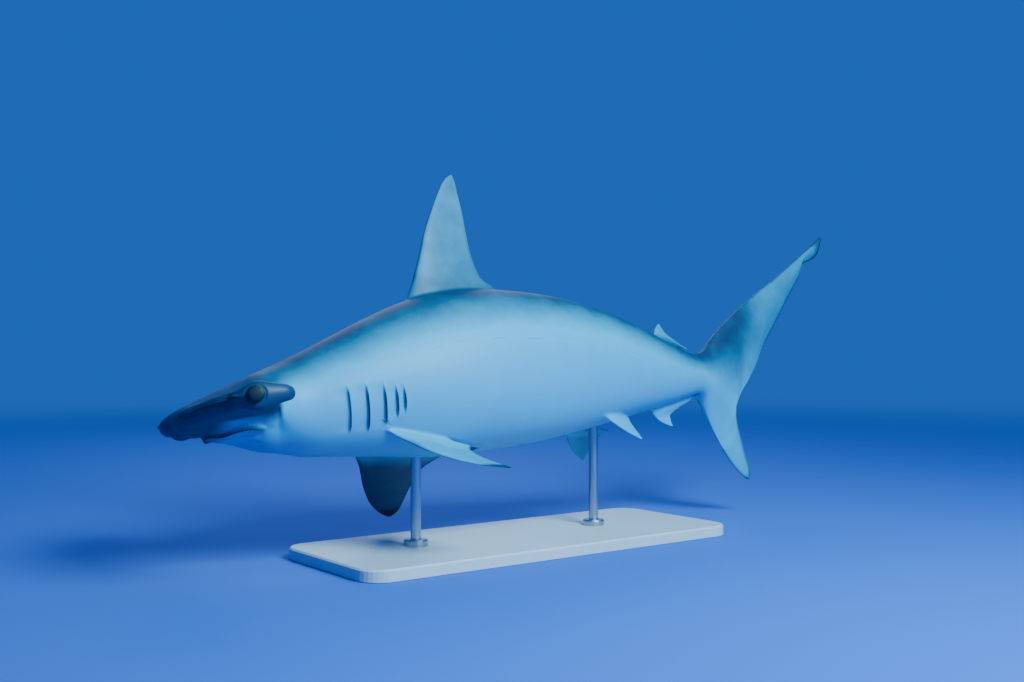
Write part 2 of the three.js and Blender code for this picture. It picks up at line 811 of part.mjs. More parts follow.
function tailSolid() {
  const surface = new Surface();
  const full = steps(0, 1, TAIL_FULL_LOOPS).map((w) => {
    const side = tailSide(w);
    return surface.loop([...side, ...mirrored(side).slice(1, -1).reverse()]);
  });
  full.slice(1).forEach((loop, i) => surface.bridge(full[i], loop));
  surface.cap(full[0], false);
  const fork = full[full.length - 1];
  const grow = (start, sides, closing) => {
    let loop = start;
    sides.forEach((side) => {
      loop = surface.bridge(loop, surface.loop([...side, ...closing(mirrored(side)).reverse()]));
    });
    surface.cap(loop, true);
  };
  grow(
    [...fork.slice(0, FORK_ROW + 1), ...fork.slice(fork.length - FORK_ROW)],
    lobeSides(UPPER_LEADING, UPPER_TRAILING, UPPER_SPLIT, UPPER_LOOPS, (share) => share * 2),
    (left) => left.slice(1),
  );
  grow(
    fork.slice(FORK_ROW, fork.length - FORK_ROW + 1),
    lobeSides(LOWER_LEADING, LOWER_TRAILING, LOWER_SPLIT, LOWER_LOOPS, (share) => 2 - share * 2),
    (left) => left.slice(0, -1),
  );
  return surface.solid();
}

// Nodes.
const group = new THREE.Group();

function addNode(name, solid, finish) {
  const { vertProperties, triVerts } = largest(solid).getMesh();
  const geometry = new THREE.BufferGeometry();
  geometry.setAttribute("position", new THREE.BufferAttribute(vertProperties, 3));
  geometry.setIndex(new THREE.BufferAttribute(triVerts, 1));
  geometry.computeVertexNormals();
  const mesh = new THREE.Mesh(geometry, finish);
  mesh.name = name;
  group.add(mesh);
  return mesh;
}

const hide = new THREE.MeshStandardMaterial({ color: "#6f9fb0", roughness: 0.5, metalness: 0 });
const eyeGloss = new THREE.MeshStandardMaterial({ color: "#0b0f14", roughness: 0.1, metalness: 0 });

let head = headShell.add(eyeLid(1)).add(eyeLid(-1));
const headCuts = [mouthCut];
[1, -1].forEach((side) => {
  headCuts.push(eyeBall(side, GAP / PC), grooveCut(side), nostrilCut(side));
});
headCuts.forEach((cut) => {
  head = head.subtract(cut);
});
addNode("head", head, hide);
addNode("eye_right", eyeBall(1), eyeGloss);
addNode("eye_left", eyeBall(-1), eyeGloss);
addNode("neck", trunkNode(neckStations, NECK_SIDES), hide);
addNode("trunk_front", trunkNode(frontStations), hide);
addNode("trunk_rear", trunkNode(rearStations), hide);
addNode("tail_stalk", trunkNode(stalkStations), hide);

// The tail fin is parted along a line from the stalk to the fork.
const LOBE_LINE = [
  [TAIL_START - 1, -1.6],
  [79, -5.5],
];
const lobeCut = (() => {
  const [[x0, z0], [x1, z1]] = LOBE_LINE;
  const length = Math.hypot(x1 - x0, z1 - z0);
  const [nx, nz] = [-(z1 - z0) / length, (x1 - x0) / length];
  const LINE_STEPS = 12;
  return lofted(
    steps(0, 1, LINE_STEPS).map((t) => {
      const [x, z] = [mix(x0, x1, t), mix(z0, z1, t)];
      return [
        [x + nx * CUT, -5, z + nz * CUT],
        [x + nx * CUT, 5, z + nz * CUT],
        [x - nx * CUT, 5, z - nz * CUT],
        [x - nx * CUT, -5, z - nz * CUT],
      ];
    }),
  );
})();
const lobes = tailSolid()
  .subtract(lobeCut)
  .decompose()
  .sort((a, b) => b.volume() - a.volume());
addNode("tail_upper_lobe", lobes[0], hide);
addNode("tail_lower_lobe", lobes[1], hide);
Object.entries(FINS).forEach(([name, fin]) => {
  addNode(name, finSolid(fin).subtract(trunkClearance), hide);
});

// Stand: a flat base with a bevelled top edge, and two upright rods in collars.
const BASE = { length: 1160, width: 440, height: 30, corner: 60, bevel: 4 };
const ROD = { radius: 13, stations: [27, 51] };
const COLLAR = { radius: 30, height: 16 };
const CORNER_STEPS = 8;
const ROUND_STEPS = 32;

function baseLoop(inset, z) {
  const corner = BASE.corner - inset;
  const x = BASE.length / 2 - BASE.corner;
  const y = BASE.width / 2 - BASE.corner;
  return [
    [x, y],
    [-x, y],
    [-x, -y],
    [x, -y],
  ].flatMap(([cx, cy], quarter) =>
    steps(0, Math.PI / 2, CORNER_STEPS).map((turn) => {
      const angle = turn + (quarter * Math.PI) / 2;
      return [cx + corner * Math.cos(angle), cy + corner * Math.sin(angle), z];
    }),
  );
}

// A solid through level loops given in millimetres.
function stacked(loops) {
  const points = loops.flat();
  const count = loops[0].length;
  const faces = [];
  loops.slice(1).forEach((_, k) => {
    for (let i = 0; i < count; i += 1) {
      const j = (i + 1) % count;
      const [a, b, c, d] = [k * count + i, k * count + j, (k + 1) * count + j, (k + 1) * count + i];
      faces.push([a, b, c], [a, c, d]);
    }
  });
  const end = (loops.length - 1) * count;
  for (let i = 1; i < count - 1; i += 1) {
    faces.push([0, i + 1, i], [end, end + i, end + i + 1]);
  }
  return solidOf(points, faces);
}

const disc = (x, y, z, radius) =>
  around(ROUND_STEPS).map((angle) => [x + radius * Math.cos(angle), y + radius * Math.sin(angle), z]);
const upright = (x, y, radius, from, to) => stacked([disc(x, y, from, radius), disc(x, y, to, radius)]);

const steel = new THREE.MeshStandardMaterial({ color: "#b8bcc0", roughness: 0.3, metalness: 1 });
const paint = new THREE.MeshStandardMaterial({ color: "#c3cad0", roughness: 0.45, metalness: 0 });

addNode(
  "stand_base",
  stacked([
    baseLoop(BASE.bevel / 2, 0),
    baseLoop(0, BASE.bevel / 2),
    baseLoop(0, BASE.height - BASE.bevel),
    baseLoop(BASE.bevel, BASE.height),
  ]),
  paint,
);
ROD.stations.forEach((station, i) => {
  const [x, y, axis] = posed([station, 0, 0]);
  const place = ["front", "rear"][i];
  const foot = BASE.height + GAP;
  const rod = upright(x, y, ROD.radius, foot, axis).subtract(trunkClearance);
  addNode(`stand_rod_${place}`, rod, steel);
  const collar = stacked([
    disc(x, y, foot, COLLAR.radius),
    disc(x, y, foot + COLLAR.height * 0.75, COLLAR.radius),
    disc(x, y, foot + COLLAR.height, COLLAR.radius - 3),
  ]).subtract(upright(x, y, ROD.radius + GAP, 0, axis));
  addNode(`stand_collar_${place}`, collar, steel);
});

export default group;
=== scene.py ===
import math

import bmesh
import bpy
import numpy as np
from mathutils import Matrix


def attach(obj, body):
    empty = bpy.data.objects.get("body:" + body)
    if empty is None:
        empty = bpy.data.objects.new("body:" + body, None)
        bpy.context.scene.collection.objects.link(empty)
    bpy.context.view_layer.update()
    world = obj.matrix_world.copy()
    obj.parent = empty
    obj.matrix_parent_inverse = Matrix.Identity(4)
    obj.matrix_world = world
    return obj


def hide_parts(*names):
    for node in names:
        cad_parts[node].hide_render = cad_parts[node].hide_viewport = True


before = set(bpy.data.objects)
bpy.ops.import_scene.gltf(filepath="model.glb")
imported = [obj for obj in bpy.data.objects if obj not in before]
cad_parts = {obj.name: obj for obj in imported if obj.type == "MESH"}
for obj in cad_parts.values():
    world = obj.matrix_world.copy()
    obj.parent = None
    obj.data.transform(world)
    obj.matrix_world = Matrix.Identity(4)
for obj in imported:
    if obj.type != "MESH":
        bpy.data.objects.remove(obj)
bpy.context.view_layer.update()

# Base: a flat board with rounded corners under the whole fish. It is fibreboard sprayed with
# satin paint, which gives a soft even sheen and the faint pebbling of a sprayed film.
MILLIMETRE = 0.001
BASE_PAINT = "#c3cdd2"
BASE_PAINT_SHADED = "#b3bfc6"
PAINT_PEBBLE_MM = 2.5
PAINT_CLOUD_MM = 180


def linear(colour):
    """The linear values of an sRGB hex colour."""
    parts = [int(colour[i : i + 2], 16) / 255 for i in (1, 3, 5)]
    return (*(c / 12.92 if c <= 0.04045 else ((c + 0.055) / 1.055) ** 2.4 for c in parts), 1)


def add(tree, kind, inputs=(), **settings):
    """Adds a node: its settings, then each input as a value or as a link from an output."""
    made = tree.nodes.new("ShaderNode" + kind)
    for key, value in settings.items():
        setattr(made, key, value)
    for key, value in dict(inputs).items():
        if isinstance(value, bpy.types.NodeSocket):
            tree.links.new(value, made.inputs[key])
        else:
            made.inputs[key].default_value = value
    return made


def empty_finish(name):
    """A new material with no nodes in it yet, and its tree."""
    material = bpy.data.materials.new(name)
    material.use_nodes = True
    material.node_tree.nodes.clear()
    return material, material.node_tree


def per_mm(size):
    """A noise texture's scale for features of that many millimetres."""
    return 1 / (size * MILLIMETRE)


satin_paint, tree = empty_finish("sprayed_satin_paint")
place = add(tree, "TexCoord").outputs["Object"]
cloud = add(tree, "TexNoise", {"Vector": place, "Scale": per_mm(PAINT_CLOUD_MM)})
pebble = add(tree, "TexNoise", {"Vector": place, "Scale": per_mm(PAINT_PEBBLE_MM)})
colour = add(
    tree,
    "Mix",
    {0: cloud.outputs["Fac"], 6: linear(BASE_PAINT), 7: linear(BASE_PAINT_SHADED)},
    data_type="RGBA",
)
bump = add(tree, "Bump", {"Height": pebble.outputs["Fac"], "Strength": 0.12, "Distance": 0.0004})
surface = add(
    tree,
    "BsdfPrincipled",
    {"Base Color": colour.outputs[2], "Roughness": 0.42, "Normal": bump.outputs[0]},
)
add(tree, "OutputMaterial", {"Surface": surface.outputs[0]})
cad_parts["stand_base"].material_slots[0].material = satin_paint

# Rods and collars: stainless bar, turned and brushed, let into the base through flat collars.
# The brushing runs round the bar, which draws the highlights out along it.
STEEL = "#c9cdd0"
STEEL_DULL = "#a9afb4"
BRUSH_LINE_MM = 1.2

brushed_steel, tree = empty_finish("brushed_stainless_steel")
place = add(tree, "TexCoord").outputs["Object"]
stretched = add(tree, "Mapping", {"Vector": place, "Scale": (0.04, 0.04, 1)})
lines = add(
    tree,
    "TexNoise",
    {"Vector": stretched.outputs[0], "Scale": per_mm(BRUSH_LINE_MM), "Detail": 4},
)
colour = add(
    tree,
    "Mix",
    {0: lines.outputs["Fac"], 6: linear(STEEL), 7: linear(STEEL_DULL)},
    data_type="RGBA",
)
bump = add(tree, "Bump", {"Height": lines.outputs["Fac"], "Strength": 0.15, "Distance": 0.0002})
rough = add(tree, "MapRange", {"Value": lines.outputs["Fac"], "To Min": 0.24, "To Max": 0.4})
surface = add(
    tree,
    "BsdfPrincipled",
    {
        "Base Color": colour.outputs[2],
        "Metallic": 1,
        "Roughness": rough.outputs[0],
        "Normal": bump.outputs[0],
    },
)
add(tree, "OutputMaterial", {"Surface": surface.outputs[0]})
for name in ("stand_rod_front", "stand_rod_rear", "stand_collar_front", "stand_collar_rear"):
    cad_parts[name].material_slots[0].material = brushed_steel

# The line of the body: a shark's backbone bends evenly from the head to the tail as it swims.
# Everything below is measured on the straight fish, in percent of its length, then bent along
# this line, banked, pitched and lifted, as the solids are.
PERCENT = 0.024
HEADINGS = [
    [0, -6.2, 2.7],
    [12, -6.2, 2.2],
    [22, -6.6, 0],
    [42, 0, 0],
    [58, 4.6, 3.8],
    [71, 6, 7.5],
    [85, 4, 10],
    [100, 2.5, 12],
]
PITCH = math.radians(2.6)
BANK = math.radians(13)
POSE_CENTRE = 40
AXIS_HEIGHT = 0.42
SPINE_STEP = 0.5
NUDGE = 1e-3


def through(keys, rows):
    """A smooth curve through rows of numbers at rising keys."""
    keys, rows = np.array(keys, float), np.array(rows, float)
    gaps = np.diff(keys)
    slope = np.diff(rows, axis=0) / gaps[:, None]
    slopes = np.vstack([slope[:1], slope[-1:]])
    if len(keys) > 2:
        before, after = gaps[:-1, None], gaps[1:, None]
        inner = (slope[:-1] * after + slope[1:] * before) / (before + after)
        slopes = np.vstack([slope[:1], inner, slope[-1:]])

    def at(key):
        key = np.asarray(key, float)
        i = np.clip(np.searchsorted(keys, key) - 1, 0, len(gaps) - 1)
        t = np.clip((key - keys[i]) / gaps[i], 0, 1)
        h = (t * t * (3 - 2 * t))[..., None]
        out_of = (gaps[i] * t * (1 - t) ** 2)[..., None]
        into = (gaps[i] * t * t * (1 - t))[..., None]
        return rows[i] * (1 - h) + rows[i + 1] * h + slopes[i] * out_of - slopes[i + 1] * into

    return at


def keyed(table):
    """The same through rows whose first number is the key."""
    table = np.array(table, float)
    return through(table[:, 0], table[:, 1:])


def outline(points):
    """The same through points, keyed by the share of the way along them."""
    points = np.array(points, float)
    along = np.concatenate([[0], np.cumsum(np.linalg.norm(np.diff(points, axis=0), axis=1))])
    return through(along / along[-1], points)


heading = keyed(HEADINGS)
stations = np.arange(0, 100, SPINE_STEP)
turns = np.radians(heading(stations + SPINE_STEP / 2)[:, 0])
steps_taken = SPINE_STEP * np.stack([np.cos(turns), np.sin(turns)], 1)
spine_points = np.vstack([[0, 0], np.cumsum(steps_taken, axis=0)])
spine = through(np.append(stations, 100), spine_points)


def posed(points):
    """Points of the straight fish, in percent, as places in the row frame, in metres."""
    x, y, z = np.moveaxis(np.asarray(points, float), -1, 0)
    turn, roll = np.moveaxis(np.radians(heading(x)), -1, 0)
    along, aside = np.moveaxis(spine(x) - spine(POSE_CENTRE), -1, 0)
    rolled_y = y * np.cos(roll) - z * np.sin(roll)
    rolled_z = z * np.cos(roll) + y * np.sin(roll)
    bent_x = along - rolled_y * np.sin(turn)
    bent_y = aside + rolled_y * np.cos(turn)
    banked_y = bent_y * math.cos(BANK) + rolled_z * math.sin(BANK)
    banked_z = rolled_z * math.cos(BANK) - bent_y * math.sin(BANK)
    place = np.stack(
        [
            bent_x * math.cos(PITCH) - banked_z * math.sin(PITCH),
            banked_y,
            banked_z * math.cos(PITCH) + bent_x * math.sin(PITCH),
        ],
        -1,
    )
    return place * PERCENT + [0, 0, AXIS_HEIGHT]


# Trunk: rounded sections, deepest under the first dorsal fin, with five gill slits on each
# side of the neck. Each slit is closed by a thin flap of skin whose rear edge stands proud.
TRUNK = [
    [14, 5.2, -4.8, 4.9],
    [18, 6.8, -5.2, 5.5],
    [22, 8.4, -5.65, 6.0],
    [28, 10.3, -6.4, 6.6],
    [34, 11.0, -6.5, 6.8],
    [42, 10.5, -6.2, 6.4],
    [50, 9.0, -5.3, 5.3],
    [58, 6.4, -4.2, 4.0],
    [64, 4.0, -3.4, 2.8],
    [67, 2.9, -2.85, 2.2],
    [69.6, 2.15, -2.45, 1.8],
]
WIDEST = 0.47
BACK_ROUND = 2.0
BELLY_ROUND = 2.3
COLUMNS = 400
CROWDING = 0.45
NECK_START = 14
TAIL_START = 69.6
GILL_SLITS = [17.3, 19.15, 20.9, 22.1, 22.9]
GILL_TOP = math.radians(87)
GILL_TOP_FALL = math.radians(1.8)
GILL_BOTTOM = math.radians(124)
GILL_BOTTOM_RISE = 0.085
GILL_RISE_FROM = 20.2
GILL_FADE = 0.09
GILL_LIP = 0.13
GILL_DEPTH = 0.3
GILL_HALF_WIDTH = 0.09
GILL_FIRST_FLAP = 2
COARSE_STEP = 0.2
MIDDLE_STEP = 0.12
FINE_STEP = 0.05
GILL_ROWS = (16.6, 23.6)
MIDDLE_ROWS_END = 30

profile = keyed(TRUNK)


def ease(low, high, value):
    """Rises smoothly from 0 at the low value to 1 at the high one."""
    t = np.clip((np.asarray(value, float) - low) / (high - low), 0, 1)
    return t * t * (3 - 2 * t)


def bell(distance, reach):
    """1 at no distance, falling off smoothly past the reach."""
    return np.exp(-((np.asarray(distance, float) / reach) ** 2))


def mix(a, b, t):
    """The value that lies the share t of the way from a to b."""
    return a + (b - a) * t


# Columns run round the body from the top down the right side; they crowd along the middle
# lines of back and belly, where the mouth needs them.
quarter = np.linspace(0, 1, COLUMNS // 4 + 1)
crowd = CROWDING * np.sin(math.pi * quarter) / math.pi
half_round = np.concatenate([quarter - crowd, 1 + (quarter + crowd)[1:]]) * math.pi / 2
ANGLES = np.concatenate([half_round[:-1], (2 * math.pi - half_round[::-1])[:-1]])


def folded(angle):
    """The angle down from the top, the same on both sides."""
    angle = np.mod(angle, 2 * math.pi)
    return np.minimum(angle, 2 * math.pi - angle)


def trunk_point(x, angle):
    """Points of the plain trunk at stations x and angles round it from the top."""
    x, angle = np.broadcast_arrays(np.asarray(x, float), np.asarray(angle, float))
    back, belly, half = np.moveaxis(profile(x), -1, 0)
    middle = mix(belly, back, WIDEST)
    upper = np.cos(angle) >= 0
    power = np.where(upper, BACK_ROUND, BELLY_ROUND)
    reach = np.where(upper, back - middle, middle - belly)
    across = np.sin(angle)
    height = reach * (1 - np.minimum(1, np.abs(across)) ** power) ** (1 / power)
    return np.stack([x, half * across, middle + np.where(upper, height, -height)], -1)


def gill_relief(x, angle):
    """How far the skin stands out of the plain section, and how deep in a slit it is, which also
    sets the slit's painted shade.
    """
    down = folded(angle)
    top = GILL_TOP + GILL_TOP_FALL * (x - GILL_SLITS[0])
    inside = ease(0, 2 * GILL_FADE, down - top + GILL_FADE)
    bottom = GILL_BOTTOM - GILL_BOTTOM_RISE * np.maximum(0, x - GILL_RISE_FROM)
    inside = inside * (1 - ease(0, 2 * GILL_FADE, down - bottom + GILL_FADE))
    relief = np.zeros(np.broadcast(x, angle).shape)
    slit = np.zeros_like(relief)
    for before, at in zip([GILL_SLITS[0] - GILL_FIRST_FLAP, *GILL_SLITS], GILL_SLITS):
        flap = ease(before, at - 0.1, x) * (1 - ease(at - 0.06, at + 0.1, x))
        groove = bell(x - at - 0.05, GILL_HALF_WIDTH)
        relief = relief + inside * (GILL_LIP * flap - GILL_DEPTH * groove)
        slit = slit + inside * groove
    return relief, slit


def unit(vectors):
    """The same directions, one long."""
    return vectors / np.maximum(np.linalg.norm(vectors, axis=-1, keepdims=True), 1e-9)


def trunk_surface(x, angle):
    """Points of the trunk's skin, with the gill flaps and slits."""
    along = trunk_point(x + NUDGE, angle) - trunk_point(x - NUDGE, angle)
    around = trunk_point(x, angle + NUDGE) - trunk_point(x, angle - NUDGE)
    outward = unit(np.cross(around, along))
    relief, slit = gill_relief(x, angle)
    return trunk_point(x, angle) + outward * relief[..., None], slit


trunk_x = np.concatenate(
    [
        np.arange(NECK_START, GILL_ROWS[0], MIDDLE_STEP)[1:],
        np.arange(*GILL_ROWS, FINE_STEP),
        np.arange(GILL_ROWS[1], MIDDLE_ROWS_END, MIDDLE_STEP),
        np.arange(MIDDLE_ROWS_END, TAIL_START, COARSE_STEP),
        [TAIL_START],
    ]
)
trunk_rings, trunk_slit_shades = trunk_surface(trunk_x[:, None], ANGLES[None, :])

# Head: a flat hammer with a notched front edge, an eye and a nostril at each end, and a skull
# and jaws in its middle that swell into the neck. The mouth is a crescent underneath.
HEAD_PLAN = outline(
    [
        [1.05, 0],
        [1.2, 2.6],
        [1.68, 5.4],
        [2.36, 7.8],
        [3.45, 10.6],
        [4.1, 12.2],
        [4.75, 13.1],
        [5.8, 13.5],
        [7.3, 13.5],
        [8.7, 13.3],
        [9.3, 12.6],
        [9.25, 11.0],
        [9.3, 9.0],
        [9.65, 7.0],
        [10.5, 5.55],
        [11.9, 4.95],
        [NECK_START, 4.9],
    ]
)
HEAD_MIDLINE = keyed(
    [
        [0, 1.05],
        [0.05, 1.5],
        [0.15, 2.5],
        [0.3, 3.9],
        [0.42, 5.2],
        [0.58, 7.5],
        [0.7, 9.5],
        [0.78, 10.3],
        [0.86, 11.3],
        [1, NECK_START],
    ]
)
MOUND = keyed(
    [
        [1, 0.3, -1.1, 2.6],
        [2.5, 0.9, -1.4, 3.2],
        [5, 1.9, -1.75, 3.9],
        [7.5, 2.85, -2.35, 4.2],
        [10.5, 4.0, -3.8, 4.6],
        [NECK_START, 5.2, -4.8, 4.9],
    ]
)
WING_HEIGHT = -0.3
WING_TOP = keyed([[0, 0.85], [0.25, 1.05], [0.6, 0.8], [1, 0.22]])
WING_UNDER = keyed([[0, 0.9], [0.3, 1.0], [0.6, 0.75], [1, 0.2]])
WING_REAR = keyed([[0, 12], [5, 10.8], [7, 9.6], [9, 9.2], [11, 9.1], [13.5, 8.9]])
SPAN = 13.5
NOTCHES = [(0, 1.4, 0.5), (5.8, 1.4, 0.35), (11.3, 1.0, 0.5)]
NOTCH_FADE = 1.6
TIP_THICKNESS = 0.45
DIHEDRAL = 0.048
EDGE_ROUND = (0.95, 0.45)
MOUTH = {"corner": 9.2, "reach": 4.6, "half": 4.1, "gape": 0.22, "depth": 0.6}
JAW_BULGE = 0.45
JAW_FADE = (2.5, 7)
GROOVE = {"from": 2.6, "to": 11.9, "half": 0.07, "depth": 0.2}
NOSTRIL = {"out": 12.0, "long": 0.55, "half": 0.15, "depth": 0.45}
EYE = {"at": 5.5, "out": 13.0, "height": 0.42, "radius": 0.75}
LID = {"ridge": 0.16, "wide": 0.11}
HEAD_RINGS = 250
PLAN_STEPS = 240
PLAN_END = 0.97
INSET_BATCH = 4000
LID_GAP = 0.06
SOCKET_DEPTH = 0.35

edge_points = HEAD_PLAN(np.linspace(0, PLAN_END, PLAN_STEPS))


def edge_inset(x, y):
    """Distance from points of the plan to its outline."""
    flat = np.stack([np.ravel(x), np.ravel(y)], -1)
    start, run = edge_points[:-1], np.diff(edge_points, axis=0)
    nearest = []
    for part in np.array_split(flat, max(1, len(flat) // INSET_BATCH)):
        offset = part[:, None] - start
        t = np.clip((offset * run).sum(-1) / (run**2).sum(-1), 0, 1)
        nearest.append(np.linalg.norm(offset - t[..., None] * run, axis=-1).min(1))
    return np.concatenate(nearest).reshape(np.shape(x))


def wing_front(y):
    """The hammer's front edge in plan, before the notches."""
    return 1.05 + 0.0215 * y * y


def notch_at(y):
    """How far the front edge is set back by the notches."""
    return sum(depth * bell(y - at, reach) for at, reach, depth in NOTCHES)


def jaw_relief(x, y):
    """How far the lower jaw swells behind the mouth."""
    across = np.clip(y / MOUTH["half"], -1, 1)
    behind = x - (MOUTH["corner"] - MOUTH["reach"] * np.sqrt(1 - across**2))
    return JAW_BULGE * ease(-0.1, 0.9, behind) * (1 - ease(*JAW_FADE, behind)) * (1 - across**4)


def head_thickness(x, y, upper):
    """How thick the head is above or below the hammer's middle plane."""
    depth = np.maximum(0, x - wing_front(y))
    top, under, half = np.moveaxis(MOUND(x), -1, 0)
    rear = WING_REAR(np.minimum(y, SPAN))[..., 0]
    chord = np.clip(depth / (rear - wing_front(y)), 0, 1)
    tip = TIP_THICKNESS * ease(10.5, 12.8, y) * chord
    section = np.where(upper, WING_TOP(chord)[..., 0], WING_UNDER(chord)[..., 0])
    wing = section * (1 - 0.15 * (y / SPAN) ** 2) + tip
    eye_mound = 0.3 * bell(x - 5.6, 1.3) * bell(y - 13, 1.1)
    reach = np.where(upper, top - WING_HEIGHT, WING_HEIGHT - under)
    mound = np.maximum(0, reach) * (1 + (y / half) ** 5) ** -0.9
    rounding = mix(*EDGE_ROUND, chord) + mix(0.5, 1.1, chord) * mound
    jaw = np.where(upper, 0, jaw_relief(x, y))
    joined = (mound**3 + (wing + eye_mound) ** 3) ** (1 / 3)
    share = np.clip(edge_inset(x, y) / rounding, 0, 1)
    return (joined + jaw) * np.sqrt(1 - (1 - share) ** 2)


def head_point(t, angle):
    """Points of the head on the ring at share t, before the mouth and the lids."""
    t, angle = np.broadcast_arrays(t, angle)
    plan_x, plan_y = np.moveaxis(HEAD_PLAN(t), -1, 0)
    middle_x = HEAD_MIDLINE(t)[..., 0]
    sine = np.abs(np.sin(angle))
    side = np.sign(np.sin(angle))
    gather = 1 + 0.5 * ease(0.25, 0.45, t) * (1 - ease(0.75, 0.95, t))
    out = sine**gather
    y = plan_y * out
    bow = mix(2, 2.5, ease(0.5, 0.65, t) * (1 - ease(0.8, 1, t)))
    x = mix(middle_x, plan_x, out**bow)
    depth = np.maximum(0, x - wing_front(y))
    notch = notch_at(y) * np.exp(-depth / NOTCH_FADE) * (1 - ease(0.36, 0.42, t))
    upper = np.cos(angle) >= 0
    neck = ease(0.8, 1, t)
    back, belly = profile(NECK_START)[:2]
    middle = mix(WING_HEIGHT, mix(belly, back, WIDEST), neck)
    top, under, _ = np.moveaxis(MOUND(x), -1, 0)
    reach = np.where(upper, top - middle, middle - under)
    power = np.where(upper, BACK_ROUND, BELLY_ROUND)
    rounded = reach * (1 - np.minimum(1, out) ** power) ** (1 / power)
    height = mix(head_thickness(x, y, upper), rounded, neck)
    height = np.where(sine > 1 - 1e-9, 0, height)
    rise = DIHEDRAL * y * (1 - neck)
    return np.stack([x + notch, side * y, middle + rise + np.where(upper, height, -height)], -1)


# Rings of the head crowd where the eyes, nostrils and mouth are.
fine = np.linspace(0.001, 1, 4000)
weight = 1 + 1.8 * bell(fine - 0.42, 0.09) + 1.2 * bell(fine - 0.6, 0.14)
share = np.cumsum(weight) - weight[0]
head_t = np.interp(np.linspace(0, share[-1], HEAD_RINGS), share, fine)
head_rings = head_point(head_t[:, None], ANGLES[None, :])


def grid_normals(grid):
    """Outward directions over rings of points."""
    along = np.gradient(grid, axis=0)
    around = np.roll(grid, -1, axis=1) - np.roll(grid, 1, axis=1)
    return unit(np.cross(around, along))


def head_relief(points):
    """Mouth, nostrils, their grooves and the lids: how far the skin moves, and how dark their
    hollows are painted as shade.
    """
    x, y, z = np.moveaxis(points, -1, 0)
    side = np.abs(y)
    a, b = (MOUTH["corner"] - x) / MOUTH["reach"], y / MOUTH["half"]
    radius = np.maximum(np.hypot(a, b), 1e-6)
    steep = np.hypot(a / MOUTH["reach"], b / MOUTH["half"]) / radius
    behind = (1 - radius) / steep
    there = ease(MOUTH["corner"] + 0.2, MOUTH["corner"] - 0.8, x) * ease(-0.4, -0.8, z)
    gape = MOUTH["gape"] * mix(0.55, 1, ease(1, 0.2, np.abs(b)))
    slit = np.exp(-((behind / gape) ** 4)) * there
    lips = there * (0.12 * bell(behind - 0.62, 0.28) + 0.07 * bell(behind + 0.45, 0.22))
    front = wing_front(side) + notch_at(side)
    level = WING_HEIGHT + DIHEDRAL * side + 0.1
    forward = 1 - ease(0.25, 0.7, x - front)
    run = ease(GROOVE["from"], GROOVE["from"] + 1.5, side) * (
        1 - ease(GROOVE["to"] - 0.1, GROOVE["to"] + 0.2, side)
    )
    groove = bell(z - level, GROOVE["half"]) * forward * run
    nostril = bell(side - NOSTRIL["out"], NOSTRIL["long"]) * bell(z - level, NOSTRIL["half"])
    nostril = nostril * forward
    from_axis = np.hypot(x - EYE["at"], z - EYE["height"])
    tip = ease(11.6, 12.4, side)
    ridge = bell(from_axis - EYE["radius"] - LID_GAP, LID["wide"]) * tip
    socket = (1 - ease(0.56, 0.74, from_axis)) * tip
    deep = MOUTH["depth"] * mix(0.35, 1, ease(0.2, 0.7, np.abs(b)))
    relief = lips - deep * slit - GROOVE["depth"] * groove
    relief = relief - NOSTRIL["depth"] * nostril + LID["ridge"] * ridge - SOCKET_DEPTH * socket
    # The mouth's gap, the grooves, the nostrils and the eye sockets are painted dark as shade.
    hollow_shade = np.clip(slit + 0.9 * groove + 1.2 * nostril + 0.8 * socket, 0, 1)
    return relief, hollow_shade


relief, head_hollow_shades = head_relief(head_rings)
head_rings = head_rings + grid_normals(head_rings) * relief[..., None]

# Tail fin: a tall upper lobe stiffened by the backbone, with a notch under its tip, and a short
# lower lobe. Each lobe thins to its trailing edge.
UPPER_LEADING = outline(
    [
        [TAIL_START, 2.15],
        [71.2, 2.7],
        [72.8, 4.15],
        [75.1, 5.7],
        [77.3, 7.0],
        [81.7, 9.4],
        [86.2, 11.65],
        [90.7, 14.1],
        [94.8, 16.4],
        [97.3, 17.9],
    ]
)
UPPER_TRAILING = outline(
    [
        [77.0, -4.6],
        [78.1, -3.1],
        [80.1, -1.3],
        [82.0, 0.7],
        [84.0, 3.3],
        [86.5, 5.95],
        [88.9, 8.6],
        [91.0, 10.9],
        [92.5, 12.6],
        [93.1, 14.0],
        [94.9, 14.6],
        [96.6, 15.5],
        [97.6, 17.4],
    ]
)
LOWER_LEADING = outline(
    [
        [TAIL_START, -2.45],
        [70.2, -4.4],
        [71.0, -6.0],
        [72.7, -8.7],
        [74.9, -11.5],
        [77.3, -13.6],
        [78.4, -14.25],
    ]
)
LOWER_TRAILING = outline(
    [
        [77.0, -4.6],
        [76.8, -6.0],
        [77.4, -8.5],
        [78.3, -11.2],
        [78.9, -13.1],
        [78.8, -14.1],
    ]
)
FORK_THICKNESS = keyed(
    [
        [0, 0.16],
        [0.06, 0.5],
        [0.2, 0.85],
        [0.35, 0.55],
        [0.5, 0.14],
        [0.65, 0.4],
        [0.85, 0.5],
        [0.96, 0.3],
        [1, 0.1],
    ]
)
UPPER_SPLIT = 0.3
LOWER_SPLIT = 0.42
TAIL_FULL_RINGS = 50
UPPER_RINGS = 150
LOWER_RINGS = 70
TAIL_EDGE = 0.03

tail_shares = (1 - np.cos(half_round)) / 2
FORK_ROW = COLUMNS // 4


def tail_path(w, shares):
    """The curve down the side of the tail, in the plane of the fin, at ring w."""
    above, below = UPPER_LEADING(w * UPPER_SPLIT), LOWER_LEADING(w * LOWER_SPLIT)
    middle = mix(np.array([TAIL_START, 0.0]), UPPER_TRAILING(0), w)
    return through([0, 0.5, 1], [above, middle, below])(shares)


